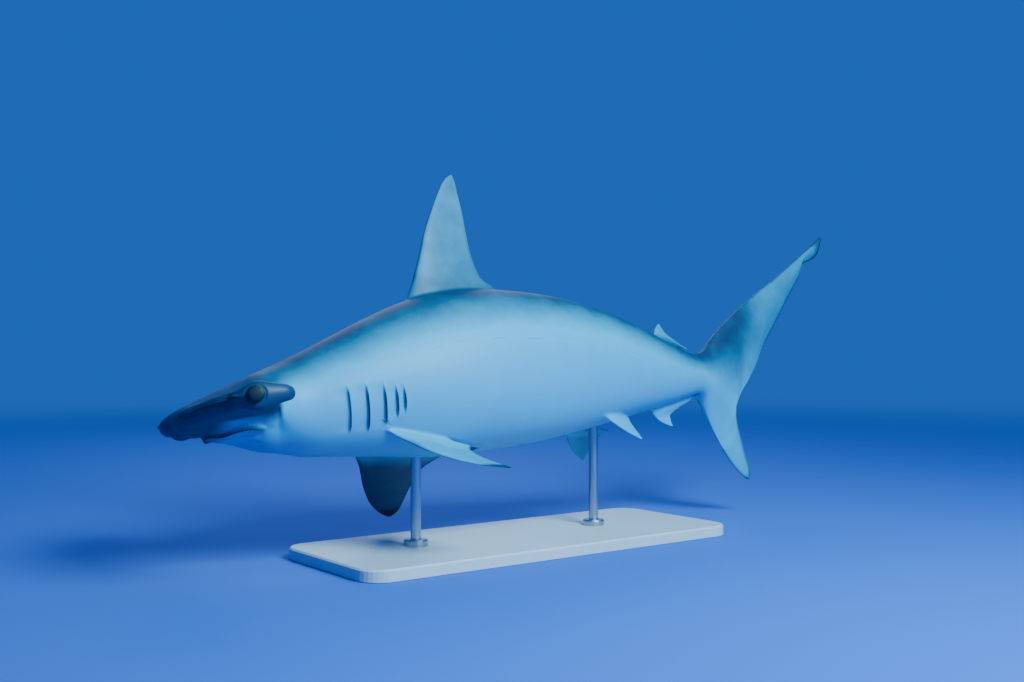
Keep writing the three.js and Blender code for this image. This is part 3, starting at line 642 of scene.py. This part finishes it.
def tail_side(w):
    """One side of the tail's ring w, from the stalk at 0 to the fork at 1."""
    stalk = trunk_point(TAIL_START, half_round)
    fade = 1 - ease(0, 0.6, w)
    path = tail_path(w, tail_shares)
    z = path[:, 1] + (stalk[:, 2] - tail_path(0, tail_shares)[:, 1]) * fade
    thick = mix(stalk[:, 1], FORK_THICKNESS(tail_shares)[:, 0], ease(0, 1, w))
    return np.stack([path[:, 0], thick, z], -1)


def lobe_side(leading, trailing, split, across, shares, s):
    """One side of a lobe's ring at share s of its height."""
    front, rear = leading(mix(split, 1, s)), trailing(s)
    start, end = leading(split), trailing(0)
    bow = tail_path(1, shares) - mix(start, end, across[:, None])
    flat = mix(front, rear, across[:, None]) + bow * (1 - s) ** 3
    thick = np.maximum(TAIL_EDGE, FORK_THICKNESS(shares)[:, 0] * mix(1, 0.3, s))
    return np.stack([flat[:, 0], thick, flat[:, 1]], -1)


def mirrored(side):
    """The same points on the other side of the middle plane."""
    return side * [1, -1, 1]


tail_full = np.array(
    [
        np.concatenate([side, mirrored(side)[1:-1][::-1]])
        for side in (tail_side(w) for w in np.linspace(0, 1, TAIL_FULL_RINGS)[1:])
    ]
)
upper_shares = tail_shares[: FORK_ROW + 1]
lower_shares = tail_shares[FORK_ROW:]
upper_lobe, lower_lobe = [], []
for s in np.linspace(0, 1, UPPER_RINGS)[1:]:
    across = upper_shares * 2
    side = lobe_side(UPPER_LEADING, UPPER_TRAILING, UPPER_SPLIT, across, upper_shares, s)
    upper_lobe.append(np.concatenate([side, mirrored(side)[1:][::-1]]))
for s in np.linspace(0, 1, LOWER_RINGS)[1:]:
    across = 2 - lower_shares * 2
    side = lobe_side(LOWER_LEADING, LOWER_TRAILING, LOWER_SPLIT, across, lower_shares, s)
    lower_lobe.append(np.concatenate([side, mirrored(side)[:-1][::-1]]))

# Meetings of head, trunk and tail: the flesh runs on without a seam, so all three are one run
# of rings, and the rings are evened out where they meet.
rings = np.concatenate([head_rings, trunk_rings, tail_full])
hollow_shades = np.concatenate([head_hollow_shades, trunk_slit_shades, np.zeros(tail_full.shape[:2])])
MEETINGS = [(HEAD_RINGS, 22), (HEAD_RINGS + len(trunk_x), 14)]
EVENING_PASSES = 80
for at, reach in MEETINGS:
    window = np.exp(-(((np.arange(len(rings)) - at) / reach) ** 2))[1:-1, None, None]
    for _ in range(EVENING_PASSES):
        even = (rings[:-2] + 2 * rings[1:-1] + rings[2:]) / 4
        rings[1:-1] = mix(rings[1:-1], even, np.where(window > 0.05, window, 0))

# Fins: stiff plates of cartilage and horny rays under skin, thick and round in front, thin
# behind. Each grows out of the body through a hollow curve.
FIN_DEFAULTS = {"slope": 0, "tilt": 0, "curl": 0, "rings": 46, "fillet": 0.45}
PECTORAL = {
    "leading": [
        [0, 0],
        [1.2, 0.4],
        [2.56, 0.85],
        [4, 1.15],
        [5.5, 1.45],
        [7, 1.91],
        [8.5, 2.52],
        [9.6, 3.24],
        [10.4, 3.94],
        [10.9, 4.55],
        [11.15, 5.0],
    ],
    "trailing": [
        [0, 7.0],
        [1.2, 9.4],
        [2.56, 11.2],
        [3.2, 9.9],
        [4, 8.6],
        [5.5, 7.55],
        [7, 7.05],
        [8.5, 6.65],
        [9.6, 6.35],
        [10.4, 6.05],
        [10.9, 5.65],
        [11.15, 5.3],
    ],
    "thickness": 0.1,
    "rings": 80,
    "tip_dark": 1,
}
PELVIC = {
    "leading": [[0, 0], [1.2, 0.7], [2.6, 1.8], [3.7, 3.1], [4.3, 4.0]],
    "trailing": [[0, 5.4], [0.5, 6.9], [1.0, 6.1], [1.9, 5.1], [3.0, 4.7], [3.8, 4.5], [4.3, 4.3]],
    "thickness": 0.13,
}
FINS = [
    {
        "root": [27.7, 0, 10.2],
        "lean": 0,
        "leading": [
            [0, 0],
            [2.3, 1.2],
            [4.9, 2.4],
            [8.1, 3.8],
            [10.1, 4.9],
            [12.2, 6.2],
            [13.4, 7.1],
            [14.0, 7.8],
            [14.2, 8.2],
        ],
        "trailing": [
            [0, 9.6],
            [0.7, 11.3],
            [1.3, 10.9],
            [2.0, 9.9],
            [3.2, 9.35],
            [4.5, 9.05],
            [7.1, 8.85],
            [9.9, 8.8],
            [12.1, 8.65],
            [13.5, 8.55],
            [14.2, 8.35],
        ],
        "thickness": 0.13,
        "rings": 110,
        "tone": 0.75,
    },
    {
        "root": [61.9, 0, 4.6],
        "lean": 0,
        "slope": 17,
        "leading": [[0, 0], [0.9, 0.2], [1.7, 0.5], [2.1, 0.8]],
        "trailing": [[0, 4.0], [0.35, 6.4], [0.7, 4.6], [1.2, 2.4], [1.7, 1.5], [2.1, 1.0]],
        "thickness": 0.16,
        "fillet": 0.3,
        "tone": 0.6,
    },
    {
        "root": [59.9, 0, -3.7],
        "lean": 180,
        "slope": 10,
        "leading": [[0, 0], [1.2, 0.4], [2.05, 1.2], [2.65, 2.15], [3.15, 3.15]],
        "trailing": [
            [0, 6.4],
            [0.35, 8.6],
            [0.8, 8.1],
            [1.1, 6.9],
            [1.35, 5.0],
            [1.6, 3.7],
            [2.3, 3.2],
            [3.15, 3.3],
        ],
        "thickness": 0.14,
        "fillet": 0.3,
        "tone": 0.35,
    },
    # The right pectoral fin is given a darker tone than the left one, as painted shade on the far
    # side; its dark tip is its own.
    {
        **PECTORAL,
        "root": [21.0, 4.6, -4.2],
        "lean": 133.7,
        "tilt": 5.6,
        "slope": 7.3,
        "curl": -0.6,
        "tone": 1.0,
    },
    {
        **PECTORAL,
        "root": [21.1, -4.6, -3.6],
        "lean": -134.2,
        "tilt": 19.9,
        "slope": 17.7,
        "curl": -2.3,
        "tone": 0.5,
    },
    # The right pelvic fin's darker tone than the left's is painted shade on the far side.
    {**PELVIC, "root": [47.5, 2.5, -5.0], "lean": 146, "tilt": 5, "tone": 0.6},
    {**PELVIC, "root": [48.8, -3.2, -4.5], "lean": -152, "tilt": 18, "slope": 20, "tone": 0.3},
]
FIN_EDGE = 0.05
FIN_FRONT_SHARE = 0.06
FILLET_RINGS = 9
PATCH_RINGS = 5
RIM_MARGIN = 0.35
FIN_REACH = (-2.0, 2.5)
REACH_HALVINGS = 40
RAYS_PER_CHORD = 8


def airfoil(c):
    """Half the thickness of a fin's section along its chord, as a plain wing has it."""
    return 2.969 * np.sqrt(c) - 1.26 * c - 3.516 * c**2 + 2.843 * c**3 - 1.015 * c**4


def fin_point(fin, share, face, out):
    """A point of a fin: its share of the chord, its face (1, -1, or 0 on the edge), its reach."""
    leading, trailing = keyed(fin["leading"]), keyed(fin["trailing"])
    span = fin["leading"][-1][0]
    lean, slope, tilt = (math.radians(fin[key]) for key in ("lean", "slope", "tilt"))
    side = -1 if fin["lean"] < 0 else 1
    outward = np.array([0, math.sin(lean), math.cos(lean)])
    normal = np.array([0, math.cos(lean), -math.sin(lean)]) * side
    ahead = np.array([1.0, 0, 0])
    spanwise = outward * math.cos(slope) + ahead * math.sin(slope)
    flat = -outward * math.sin(slope) + ahead * math.cos(slope)
    chordwise = flat * math.cos(tilt) + normal * math.sin(tilt)
    thickwise = normal * math.cos(tilt) - flat * math.sin(tilt)
    reach = np.maximum(0, out)
    start = leading(reach)[..., 0]
    chord = trailing(reach)[..., 0] - start
    thick = fin["thickness"] * mix(1, 0.6, reach / span)
    least = FIN_EDGE / 2 * np.minimum(1, share * 40)
    half = np.maximum(least, chord * thick * airfoil(share) / 2) * face
    lift = fin["curl"] * (reach / span) ** 2 + half
    back = start + chord * share
    steps = ((out, spanwise), (back, chordwise), (lift, thickwise))
    return np.array(fin["root"]) + sum(v[..., None] * axis for v, axis in steps)


def outside_trunk(points):
    """Whether points lie outside the plain trunk."""
    x, y, z = np.moveaxis(points, -1, 0)
    back, belly, half = np.moveaxis(profile(x), -1, 0)
    middle = mix(belly, back, WIDEST)
    upper = z >= middle
    power = np.where(upper, BACK_ROUND, BELLY_ROUND)
    reach = np.where(upper, back - middle, middle - belly)
    return np.abs(y / half) ** power + np.abs((z - middle) / reach) ** power > 1


def trunk_angle(points):
    """The angles at which points of the trunk's surface lie."""
    x, y, z = np.moveaxis(points, -1, 0)
    back, belly, half = np.moveaxis(profile(x), -1, 0)
    angle = np.arcsin(np.clip(y / half, -1, 1))
    return np.where(z >= mix(belly, back, WIDEST), angle, math.pi - angle)


def column_angle(column):
    """The angle of a column, counted on past a full turn."""
    return ANGLES[np.mod(column, COLUMNS)] + 2 * math.pi * np.floor_divide(column, COLUMNS)


def fin_shares(front, side):
    """Shares of the chord for one face, from the leading edge to the trailing one."""
    nose = FIN_FRONT_SHARE * (np.arange(front) / front) ** 2
    flank = np.linspace(FIN_FRONT_SHARE, 1 - FIN_FRONT_SHARE, side + 1)
    return np.concatenate([nose, flank, 1 - nose[::-1]])


def root_outline(fin, shares, faces):
    """Where the fin's spanwise lines meet the trunk."""
    low, high = (np.full(len(shares), end) for end in FIN_REACH)
    for _ in range(REACH_HALVINGS):
        middle = (low + high) / 2
        out = outside_trunk(fin_point(fin, shares, faces, middle))
        low, high = np.where(out, low, middle), np.where(out, middle, high)
    return high


def widened(x, angle, amount):
    """The root outline moved outward over the trunk's skin."""
    step = trunk_point(x, angle + NUDGE) - trunk_point(x, angle - NUDGE)
    arc = np.linalg.norm(step, axis=-1) / (2 * NUDGE)
    flat = np.stack([x, (angle - angle.mean()) * arc], -1)
    along = np.roll(flat, -1, axis=0) - np.roll(flat, 1, axis=0)
    normal = unit(np.stack([along[:, 1], -along[:, 0]], -1))
    if (normal * (flat - flat.mean(0))).sum() < 0:
        normal = -normal
    return x + normal[:, 0] * amount, angle + normal[:, 1] * amount / arc


# Skin: one hide over head, body and fins, in rows of four-sided faces with a small cap at the
# snout and at each tip. Each fin stands on the rim of an opening in the body's rows, and rings
# of faces lead from one to the other.
points, hollow_shade_values, tones, rays, faces = [], [], [], [], []
BODY_RINGS = len(rings)
FIRST_TRUNK_RING = HEAD_RINGS


def body_index(ring, column):
    """The number of the body's point at a ring and a column."""
    return ring * COLUMNS + np.mod(column, COLUMNS)


def keep_points(new_points, hollow_shade, tone, ray):
    """Adds points with their painted hollow shade, tone and place along the fin's rays."""
    first = sum(len(p) for p in points)
    new_points = np.reshape(new_points, (-1, 3))
    points.append(new_points)
    hollow_shade_values.append(np.broadcast_to(np.ravel(hollow_shade), len(new_points)))
    tones.append(np.broadcast_to(np.ravel(tone), len(new_points)))
    rays.append(np.broadcast_to(np.reshape(ray, (-1, 2)), (len(new_points), 2)))
    return np.arange(first, first + len(new_points))


def keep_bridge(one, other):
    """Adds a ring of faces between two loops of points."""
    faces.extend(zip(one, np.roll(one, -1), np.roll(other, -1), other))


def lateral_line(x):
    """How far down the side the faint sense line runs."""
    return np.interp(x, [24, 30, 48, 54, 62], np.radians([76, 73, 79, 84, 88]))


def body_tone(grid):
    """Dark back, pale flank, a slightly darker belly as painted shade, and the hammer's underside
    painted darker than the back as shade: 1 is the back's colour, 0 the belly's.
    """
    x, y, z = np.moveaxis(grid, -1, 0)
    down = folded(ANGLES)[None, :]
    trunk = 1 - ease(math.radians(20), math.radians(100), down)
    stalk = 1 - ease(math.radians(30), math.radians(125), down)
    rear = ease(45, 70, x)
    trunk = mix(trunk, stalk, rear)
    line = bell(down - lateral_line(x), 0.012) * ease(24, 27, x) * (1 - ease(62, 68, x))
    trunk = trunk + 0.3 * line
    wing = ease(3.2, 6.5, np.abs(y)) * (1 - ease(9.8, 11.5, x))
    # The hammer's underside is painted darker than its top, as shade; the top's dark is its own
    # colour.
    head = np.where(z > WING_HEIGHT + DIHEDRAL * np.abs(y), 1.0, 1.1)
    nose = 1 - ease(3.5, 8, x)
    return mix(trunk, head, np.maximum(wing, nose))


keep_points(rings, hollow_shades, body_tone(rings), (0, 0))
solid_cell = np.ones((BODY_RINGS - 1, COLUMNS), bool)
for fin in FINS:
    fin = {**FIN_DEFAULTS, **fin}
    span = fin["leading"][-1][0]
    side = -1 if fin["lean"] < 0 else 1
    # A first trace of the root tells which cells the fin stands on.
    trial = fin_shares(8, 60)
    trial_faces = np.where((trial > 0) & (trial < 1), 1.0, 0)
    loop_shares = np.concatenate([trial, trial[1:-1][::-1]])
    loop_faces = np.concatenate([trial_faces, -trial_faces[1:-1][::-1]])
    reach = root_outline(fin, loop_shares, loop_faces)
    root = fin_point(fin, loop_shares, loop_faces, reach)
    x, angle = widened(root[:, 0], trunk_angle(root), fin["fillet"] + RIM_MARGIN)
    first_ring = np.searchsorted(trunk_x, x.min()) - 1
    last_ring = min(np.searchsorted(trunk_x, x.max()), len(trunk_x) - 2)
    unrolled = column_angle(np.arange(-COLUMNS, 2 * COLUMNS))
    first_column = np.searchsorted(unrolled, angle.min()) - 1 - COLUMNS
    last_column = np.searchsorted(unrolled, angle.max()) - COLUMNS
    last_column += (last_column - first_column) % 2
    front = (last_column - first_column) // 2
    length = last_ring - first_ring
    # The opening's rim, from the middle of its front along one side and back along the other.
    middle_column = first_column + front
    turn = side * np.concatenate(
        [np.arange(front), np.full(length + 1, front), np.arange(front)[::-1]]
    )
    ahead = np.concatenate(
        [np.zeros(front, int), np.arange(length + 1), np.full(front, length, int)]
    )
    rim_rings = first_ring + np.concatenate([ahead, ahead[1:-1][::-1]])
    rim_columns = middle_column + np.concatenate([turn, -turn[1:-1][::-1]])
    rim = body_index(FIRST_TRUNK_RING + rim_rings, rim_columns)
    cells = np.ix_(
        FIRST_TRUNK_RING + np.arange(first_ring, last_ring),
        np.mod(np.arange(first_column, last_column), COLUMNS),
    )
    solid_cell[cells] = False
    # The same number of points round the fin's root.
    shares = fin_shares(front, length)
    flat_faces = np.where((shares > 0) & (shares < 1), 1.0, 0)
    loop_shares = np.concatenate([shares, shares[1:-1][::-1]])
    loop_faces = np.concatenate([flat_faces, -flat_faces[1:-1][::-1]])
    reach = root_outline(fin, loop_shares, loop_faces)
    root = fin_point(fin, loop_shares, loop_faces, reach)
    root_angle = trunk_angle(root)
    wide_x, wide_angle = widened(root[:, 0], root_angle, fin["fillet"])
    rim_x, rim_angle = trunk_x[rim_rings], column_angle(rim_columns)
    rim_tone = tones[0][rim]
    start_tone = rim_tone
    previous = rim
    for share in np.linspace(0, 1, PATCH_RINGS + 1)[1:]:
        ring, slit = trunk_surface(mix(rim_x, wide_x, share), mix(rim_angle, wide_angle, share))
        made = keep_points(ring, slit, rim_tone, (0, 0))
        keep_bridge(previous, made)
        previous = made
    start = ring
    lift = fin["fillet"] * 1.2 * (1 - 0.75 * ease(0.75, 1, loop_shares))
    end_reach = np.minimum(reach + lift, span * 0.9)
    end = fin_point(fin, loop_shares, loop_faces, end_reach)
    fin_tone = fin["tone"]
    for t in np.linspace(0, 1, FILLET_RINGS + 1)[1:]:
        ring = start * (1 - t) ** 2 + 2 * t * (1 - t) * root + t * t * end
        made = keep_points(ring, 0, mix(start_tone, fin_tone, ease(0, 1, t) * 0.6), (0, 0))
        keep_bridge(previous, made)
        previous = made
    for q in np.linspace(0, 1, fin["rings"] + 1)[1:]:
        climb = (1 - math.cos(math.pi * q)) / 2
        out = mix(end_reach, span, climb)
        ring = fin_point(fin, loop_shares, loop_faces, out)
        blend_in = 0.6 + 0.4 * ease(0, 0.25, climb)
        tone = mix(start_tone, fin_tone, blend_in)
        tip = fin.get("tip_dark", 0) * ease(0.8, 0.97, out / span)
        # Painted shade darkens the rounded leading edge; the trailing edge is made a little darker
        # too.
        edge_shade_and_margin = 0.12 * ease(0.93, 1, loop_shares) + 0.2 * (1 - ease(0, 0.05, loop_shares))
        tone = tone + tip * 0.9 + edge_shade_and_margin * ease(0, 0.2, climb)
        ray = np.stack([loop_shares * RAYS_PER_CHORD, out], -1)
        made = keep_points(ring, 0, tone, ray)
        keep_bridge(previous, made)
        previous = made
    faces.append(tuple(previous))

cell_rings, cell_columns = np.nonzero(solid_cell)
faces.extend(
    zip(
        body_index(cell_rings, cell_columns),
        body_index(cell_rings, cell_columns + 1),
        body_index(cell_rings + 1, cell_columns + 1),
        body_index(cell_rings + 1, cell_columns),
    )
)
faces.append(tuple(body_index(0, np.arange(COLUMNS))))
fork = body_index(BODY_RINGS - 1, np.arange(COLUMNS))
for loop, lobe, tone in (
    (np.concatenate([fork[: FORK_ROW + 1], fork[COLUMNS - FORK_ROW :]]), upper_lobe, 0.7),
    (fork[FORK_ROW : COLUMNS - FORK_ROW + 1], lower_lobe, 0.45),
):
    start_tone = tones[0][loop]
    for i, ring in enumerate(lobe):
        s = (i + 1) / len(lobe)
        thin = 1 - ease(0.06, 0.2, np.abs(ring[:, 1]))
        value = mix(start_tone, tone, ease(0, 0.35, s)) + 0.3 * thin * ease(0, 0.3, s)
        value = value + 0.3 * ease(0.85, 1, s)
        made = keep_points(ring, 0, value, np.stack([ring[:, 0] - ring[:, 2], ring[:, 2]], -1))
        keep_bridge(loop, made)
        loop = made
    faces.append(tuple(loop))

straight = np.concatenate(points)
skin_mesh = bpy.data.meshes.new("skin")
skin_mesh.from_pydata(posed(straight), [], [tuple(int(i) for i in face) for face in faces])
for name, values, kind in (
    ("straight", straight, "FLOAT_VECTOR"),
    ("hollow_shade", np.concatenate(hollow_shade_values), "FLOAT"),
    ("tone", np.clip(np.concatenate(tones), 0, 2), "FLOAT"),
    ("rays", np.pad(np.concatenate(rays), ((0, 0), (0, 1))), "FLOAT_VECTOR"),
):
    attribute = skin_mesh.attributes.new(name, kind, "POINT")
    field = "vector" if kind == "FLOAT_VECTOR" else "value"
    attribute.data.foreach_set(field, np.ravel(values).astype(np.float32))
skin_mesh.validate()
skin_mesh.shade_smooth()
skin = bpy.data.objects.new("skin", skin_mesh)
bpy.context.scene.collection.objects.link(skin)
edit = bmesh.new()
edit.from_mesh(skin_mesh)
bmesh.ops.recalc_face_normals(edit, faces=edit.faces)
edit.to_mesh(skin_mesh)
edit.free()

# Hide: shark skin, living and wet, set all over with tooth-like scales a third of a millimetre
# wide. They scatter the light to a satin; here they are drawn five times coarser to show.
BACK = "#023558"
FLANK = "#00a9cf"
# The belly's blue is a little darker than the flank's, as painted shade under the body.
BELLY_IN_SHADE = "#0a9ac8"
TIP = "#01142a"
# Near black painted into the mouth, grooves, nostrils, eye sockets and gill slits as their shade.
PAINTED_HOLLOW_SHADE = "#010a12"
SCALE_MM = 1.6
MOTTLE_MM = 70
MM_PER_PERCENT = PERCENT / MILLIMETRE

hide, tree = empty_finish("wet_shark_hide")
straight_place = add(tree, "Attribute", attribute_name="straight").outputs["Vector"]
tone = add(tree, "Attribute", attribute_name="tone").outputs["Fac"]
hollow_shade = add(tree, "Attribute", attribute_name="hollow_shade").outputs["Fac"]
rays_place = add(tree, "Attribute", attribute_name="rays").outputs["Vector"]
mottle = add(
    tree,
    "TexNoise",
    {"Vector": straight_place, "Scale": MM_PER_PERCENT / MOTTLE_MM, "Detail": 6, "Roughness": 0.6},
)
uneven = add(tree, "MapRange", {"Value": mottle.outputs["Fac"], "To Min": -0.16, "To Max": 0.16})
toned = add(tree, "Math", {0: tone, 1: uneven.outputs[0]}, operation="ADD")
low = add(tree, "MapRange", {"Value": toned.outputs[0], "From Min": 0.0, "From Max": 0.4})
high = add(tree, "MapRange", {"Value": toned.outputs[0], "From Min": 0.35, "From Max": 1.0})
dark = add(tree, "MapRange", {"Value": toned.outputs[0], "From Min": 1.1, "From Max": 1.7})
pale = add(
    tree, "Mix", {0: low.outputs[0], 6: linear(BELLY_IN_SHADE), 7: linear(FLANK)}, data_type="RGBA"
)
backed = add(
    tree, "Mix", {0: high.outputs[0], 6: pale.outputs[2], 7: linear(BACK)}, data_type="RGBA"
)
tipped = add(
    tree, "Mix", {0: dark.outputs[0], 6: backed.outputs[2], 7: linear(TIP)}, data_type="RGBA"
)
# Painted shade: the hollows are darkened towards near black.
hollow_shaded = add(
    tree, "Mix", {0: hollow_shade, 6: tipped.outputs[2], 7: linear(PAINTED_HOLLOW_SHADE)}, data_type="RGBA"
)
scales = add(
    tree,
    "TexVoronoi",
    {"Vector": straight_place, "Scale": MM_PER_PERCENT / SCALE_MM},
)
ray_lines = add(
    tree,
    "TexWave",
    {"Vector": rays_place, "Scale": 1.6, "Distortion": 1.5, "Detail": 2},
)
ray_bump = add(
    tree, "Bump", {"Height": ray_lines.outputs["Fac"], "Strength": 0.1, "Distance": 0.0015}
)
scale_bump = add(
    tree,
    "Bump",
    {
        "Height": scales.outputs["Distance"],
        "Strength": 0.25,
        "Distance": 0.0004,
        "Normal": ray_bump.outputs[0],
    },
)
rough = add(tree, "MapRange", {"Value": mottle.outputs["Fac"], "To Min": 0.48, "To Max": 0.62})
surface = add(
    tree,
    "BsdfPrincipled",
    {
        "Base Color": hollow_shaded.outputs[2],
        "Roughness": rough.outputs[0],
        "IOR": 1.38,
        "Coat Weight": 0.08,
        "Coat Roughness": 0.3,
        "Normal": scale_bump.outputs[0],
    },
)
add(tree, "OutputMaterial", {"Surface": surface.outputs[0]})
skin_mesh.materials.append(hide)
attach(skin, "root")
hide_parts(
    "head",
    "neck",
    "trunk_front",
    "trunk_rear",
    "tail_stalk",
    "tail_upper_lobe",
    "tail_lower_lobe",
    "fin_dorsal_first",
    "fin_dorsal_second",
    "fin_anal",
    "fin_pectoral_right",
    "fin_pectoral_left",
    "fin_pelvic_right",
    "fin_pelvic_left",
)

# Eyes: a large dark ball at each end of the hammer, with a dim iris round an upright pupil
# under a clear wet cornea, which gives one sharp highlight.
EYE_DARK = "#020507"
IRIS = "#0b1d27"
EYE_SEGMENTS = 64

eye_finish, tree = empty_finish("wet_eye")
place = add(tree, "Attribute", attribute_name="eye").outputs["Vector"]
squeezed = add(tree, "Mapping", {"Vector": place, "Scale": (1.5, 0, 0.9)})
from_pupil = add(tree, "VectorMath", {0: squeezed.outputs[0]}, operation="LENGTH")
in_iris = add(
    tree, "MapRange", {"Value": from_pupil.outputs["Value"], "From Min": 0.6, "From Max": 0.68}
)
fibres = add(tree, "TexNoise", {"Vector": place, "Scale": 14, "Detail": 3})
iris_shade = add(
    tree,
    "Mix",
    {0: fibres.outputs["Fac"], 6: linear(EYE_DARK), 7: linear(IRIS)},
    data_type="RGBA",
)
colour = add(
    tree,
    "Mix",
    {0: in_iris.outputs[0], 6: linear(EYE_DARK), 7: iris_shade.outputs[2]},
    data_type="RGBA",
)
surface = add(
    tree,
    "BsdfPrincipled",
    {
        "Base Color": colour.outputs[2],
        "Roughness": 0.3,
        "IOR": 1.38,
        "Coat Weight": 0.6,
        "Coat Roughness": 0.04,
    },
)
add(tree, "OutputMaterial", {"Surface": surface.outputs[0]})
polar = np.linspace(0, math.pi, EYE_SEGMENTS // 2 + 1)[1:-1]
turn = np.linspace(0, 2 * math.pi, EYE_SEGMENTS, endpoint=False)
for name, side in (("eye_right", 1), ("eye_left", -1)):
    ball = np.stack(
        [
            np.sin(polar)[:, None] * np.cos(turn),
            np.cos(polar)[:, None] * np.ones_like(turn),
            np.sin(polar)[:, None] * np.sin(turn),
        ],
        -1,
    ).reshape(-1, 3)
    centre = np.array([EYE["at"], side * EYE["out"], EYE["height"]])
    index = np.arange(len(ball)).reshape(len(polar), EYE_SEGMENTS)
    quads = np.stack(
        [index[:-1], np.roll(index, -1, 1)[:-1], np.roll(index, -1, 1)[1:], index[1:]], -1
    ).reshape(-1, 4)
    ends = [tuple(index[0][::-1]), tuple(index[-1])]
    mesh = bpy.data.meshes.new(name + "_ball")
    all_faces = [tuple(int(i) for i in face) for face in [*quads, *ends]]
    mesh.from_pydata(posed(ball * EYE["radius"] + centre), [], all_faces)
    attribute = mesh.attributes.new("eye", "FLOAT_VECTOR", "POINT")
    attribute.data.foreach_set("vector", ball.ravel().astype(np.float32))
    mesh.shade_smooth()
    mesh.materials.append(eye_finish)
    eye = bpy.data.objects.new(name + "_ball", mesh)
    bpy.context.scene.collection.objects.link(eye)
    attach(eye, "root")
    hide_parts(name)

# Floor: a wide blue studio floor in matt paint, which shows the model's soft shadow. It fades
# into the backdrop's colour well away from the model.
BACKDROP = "#1f6fe0"
BACKDROP_GLOW = 0.75
FLOOR = "#1f66c4"
FLOOR_SIZE = 400
FADE_FROM = 2.0
FADE_TO = 9.0

floor_paint, tree = empty_finish("matt_floor_paint")
place = add(tree, "TexCoord").outputs["Object"]
from_middle = add(tree, "VectorMath", {0: place}, operation="LENGTH")
fade = add(
    tree,
    "MapRange",
    {"Value": from_middle.outputs["Value"], "From Min": FADE_FROM, "From Max": FADE_TO},
    interpolation_type="SMOOTHSTEP",
)
surface = add(tree, "BsdfPrincipled", {"Base Color": linear(FLOOR), "Roughness": 0.8})
glow = add(tree, "Emission", {"Color": linear(BACKDROP), "Strength": BACKDROP_GLOW})
both = add(tree, "MixShader", {0: fade.outputs[0], 1: surface.outputs[0], 2: glow.outputs[0]})
add(tree, "OutputMaterial", {"Surface": both.outputs[0]})
floor_mesh = bpy.data.meshes.new("floor")
half = FLOOR_SIZE / 2
corners = [(-half, -half, 0), (half, -half, 0), (half, half, 0), (-half, half, 0)]
floor_mesh.from_pydata(corners, [], [(0, 1, 2, 3)])
floor_mesh.materials.append(floor_paint)
floor = bpy.data.objects.new("floor", floor_mesh)
bpy.context.scene.collection.objects.link(floor)

# Light: a broad soft lamp above and before the near flank, a weaker one on the far side, and
# a deep blue even surround.
world = bpy.data.worlds.new("studio")
world.use_nodes = True
world.node_tree.nodes["Background"].inputs["Color"].default_value = linear(BACKDROP)
world.node_tree.nodes["Background"].inputs["Strength"].default_value = BACKDROP_GLOW
bpy.context.scene.world = world
LAMPS = [
    ("key", (0.1, -2.7, 2.4), 1.3, 250, "#c4f3ff"),
    ("far", (1.5, 3.2, 3.0), 3.0, 60, "#d7f0ff"),
]
for name, place, size, watts, tint in LAMPS:
    lamp = bpy.data.lights.new(name, "AREA")
    lamp.size = size
    lamp.energy = watts
    lamp.color = linear(tint)[:3]
    holder = bpy.data.objects.new(name, lamp)
    holder.location = place
    away = np.array(place) - [0, 0, AXIS_HEIGHT]
    holder.rotation_euler = (
        math.atan2(math.hypot(away[0], away[1]), away[2]),
        0,
        math.atan2(away[0], -away[1]),
    )
    bpy.context.scene.collection.objects.link(holder)

# Camera: level, a little above the line of the backbone and off the left bow. Its place and
# its focal length are fitted to the photograph.
CAMERA_PLACE = (-1.922, -2.52, 0.54)
CAMERA_TURN = math.radians(-37)
SENSOR_MM = 36
FOCAL_SHARE = 1200 / 1024

camera_data = bpy.data.cameras.new("camera")
camera_data.sensor_width = SENSOR_MM
camera_data.lens = SENSOR_MM * FOCAL_SHARE
camera = bpy.data.objects.new("camera", camera_data)
camera.location = CAMERA_PLACE
camera.rotation_euler = (math.pi / 2, 0, CAMERA_TURN)
bpy.context.scene.collection.objects.link(camera)
bpy.context.scene.camera = camera
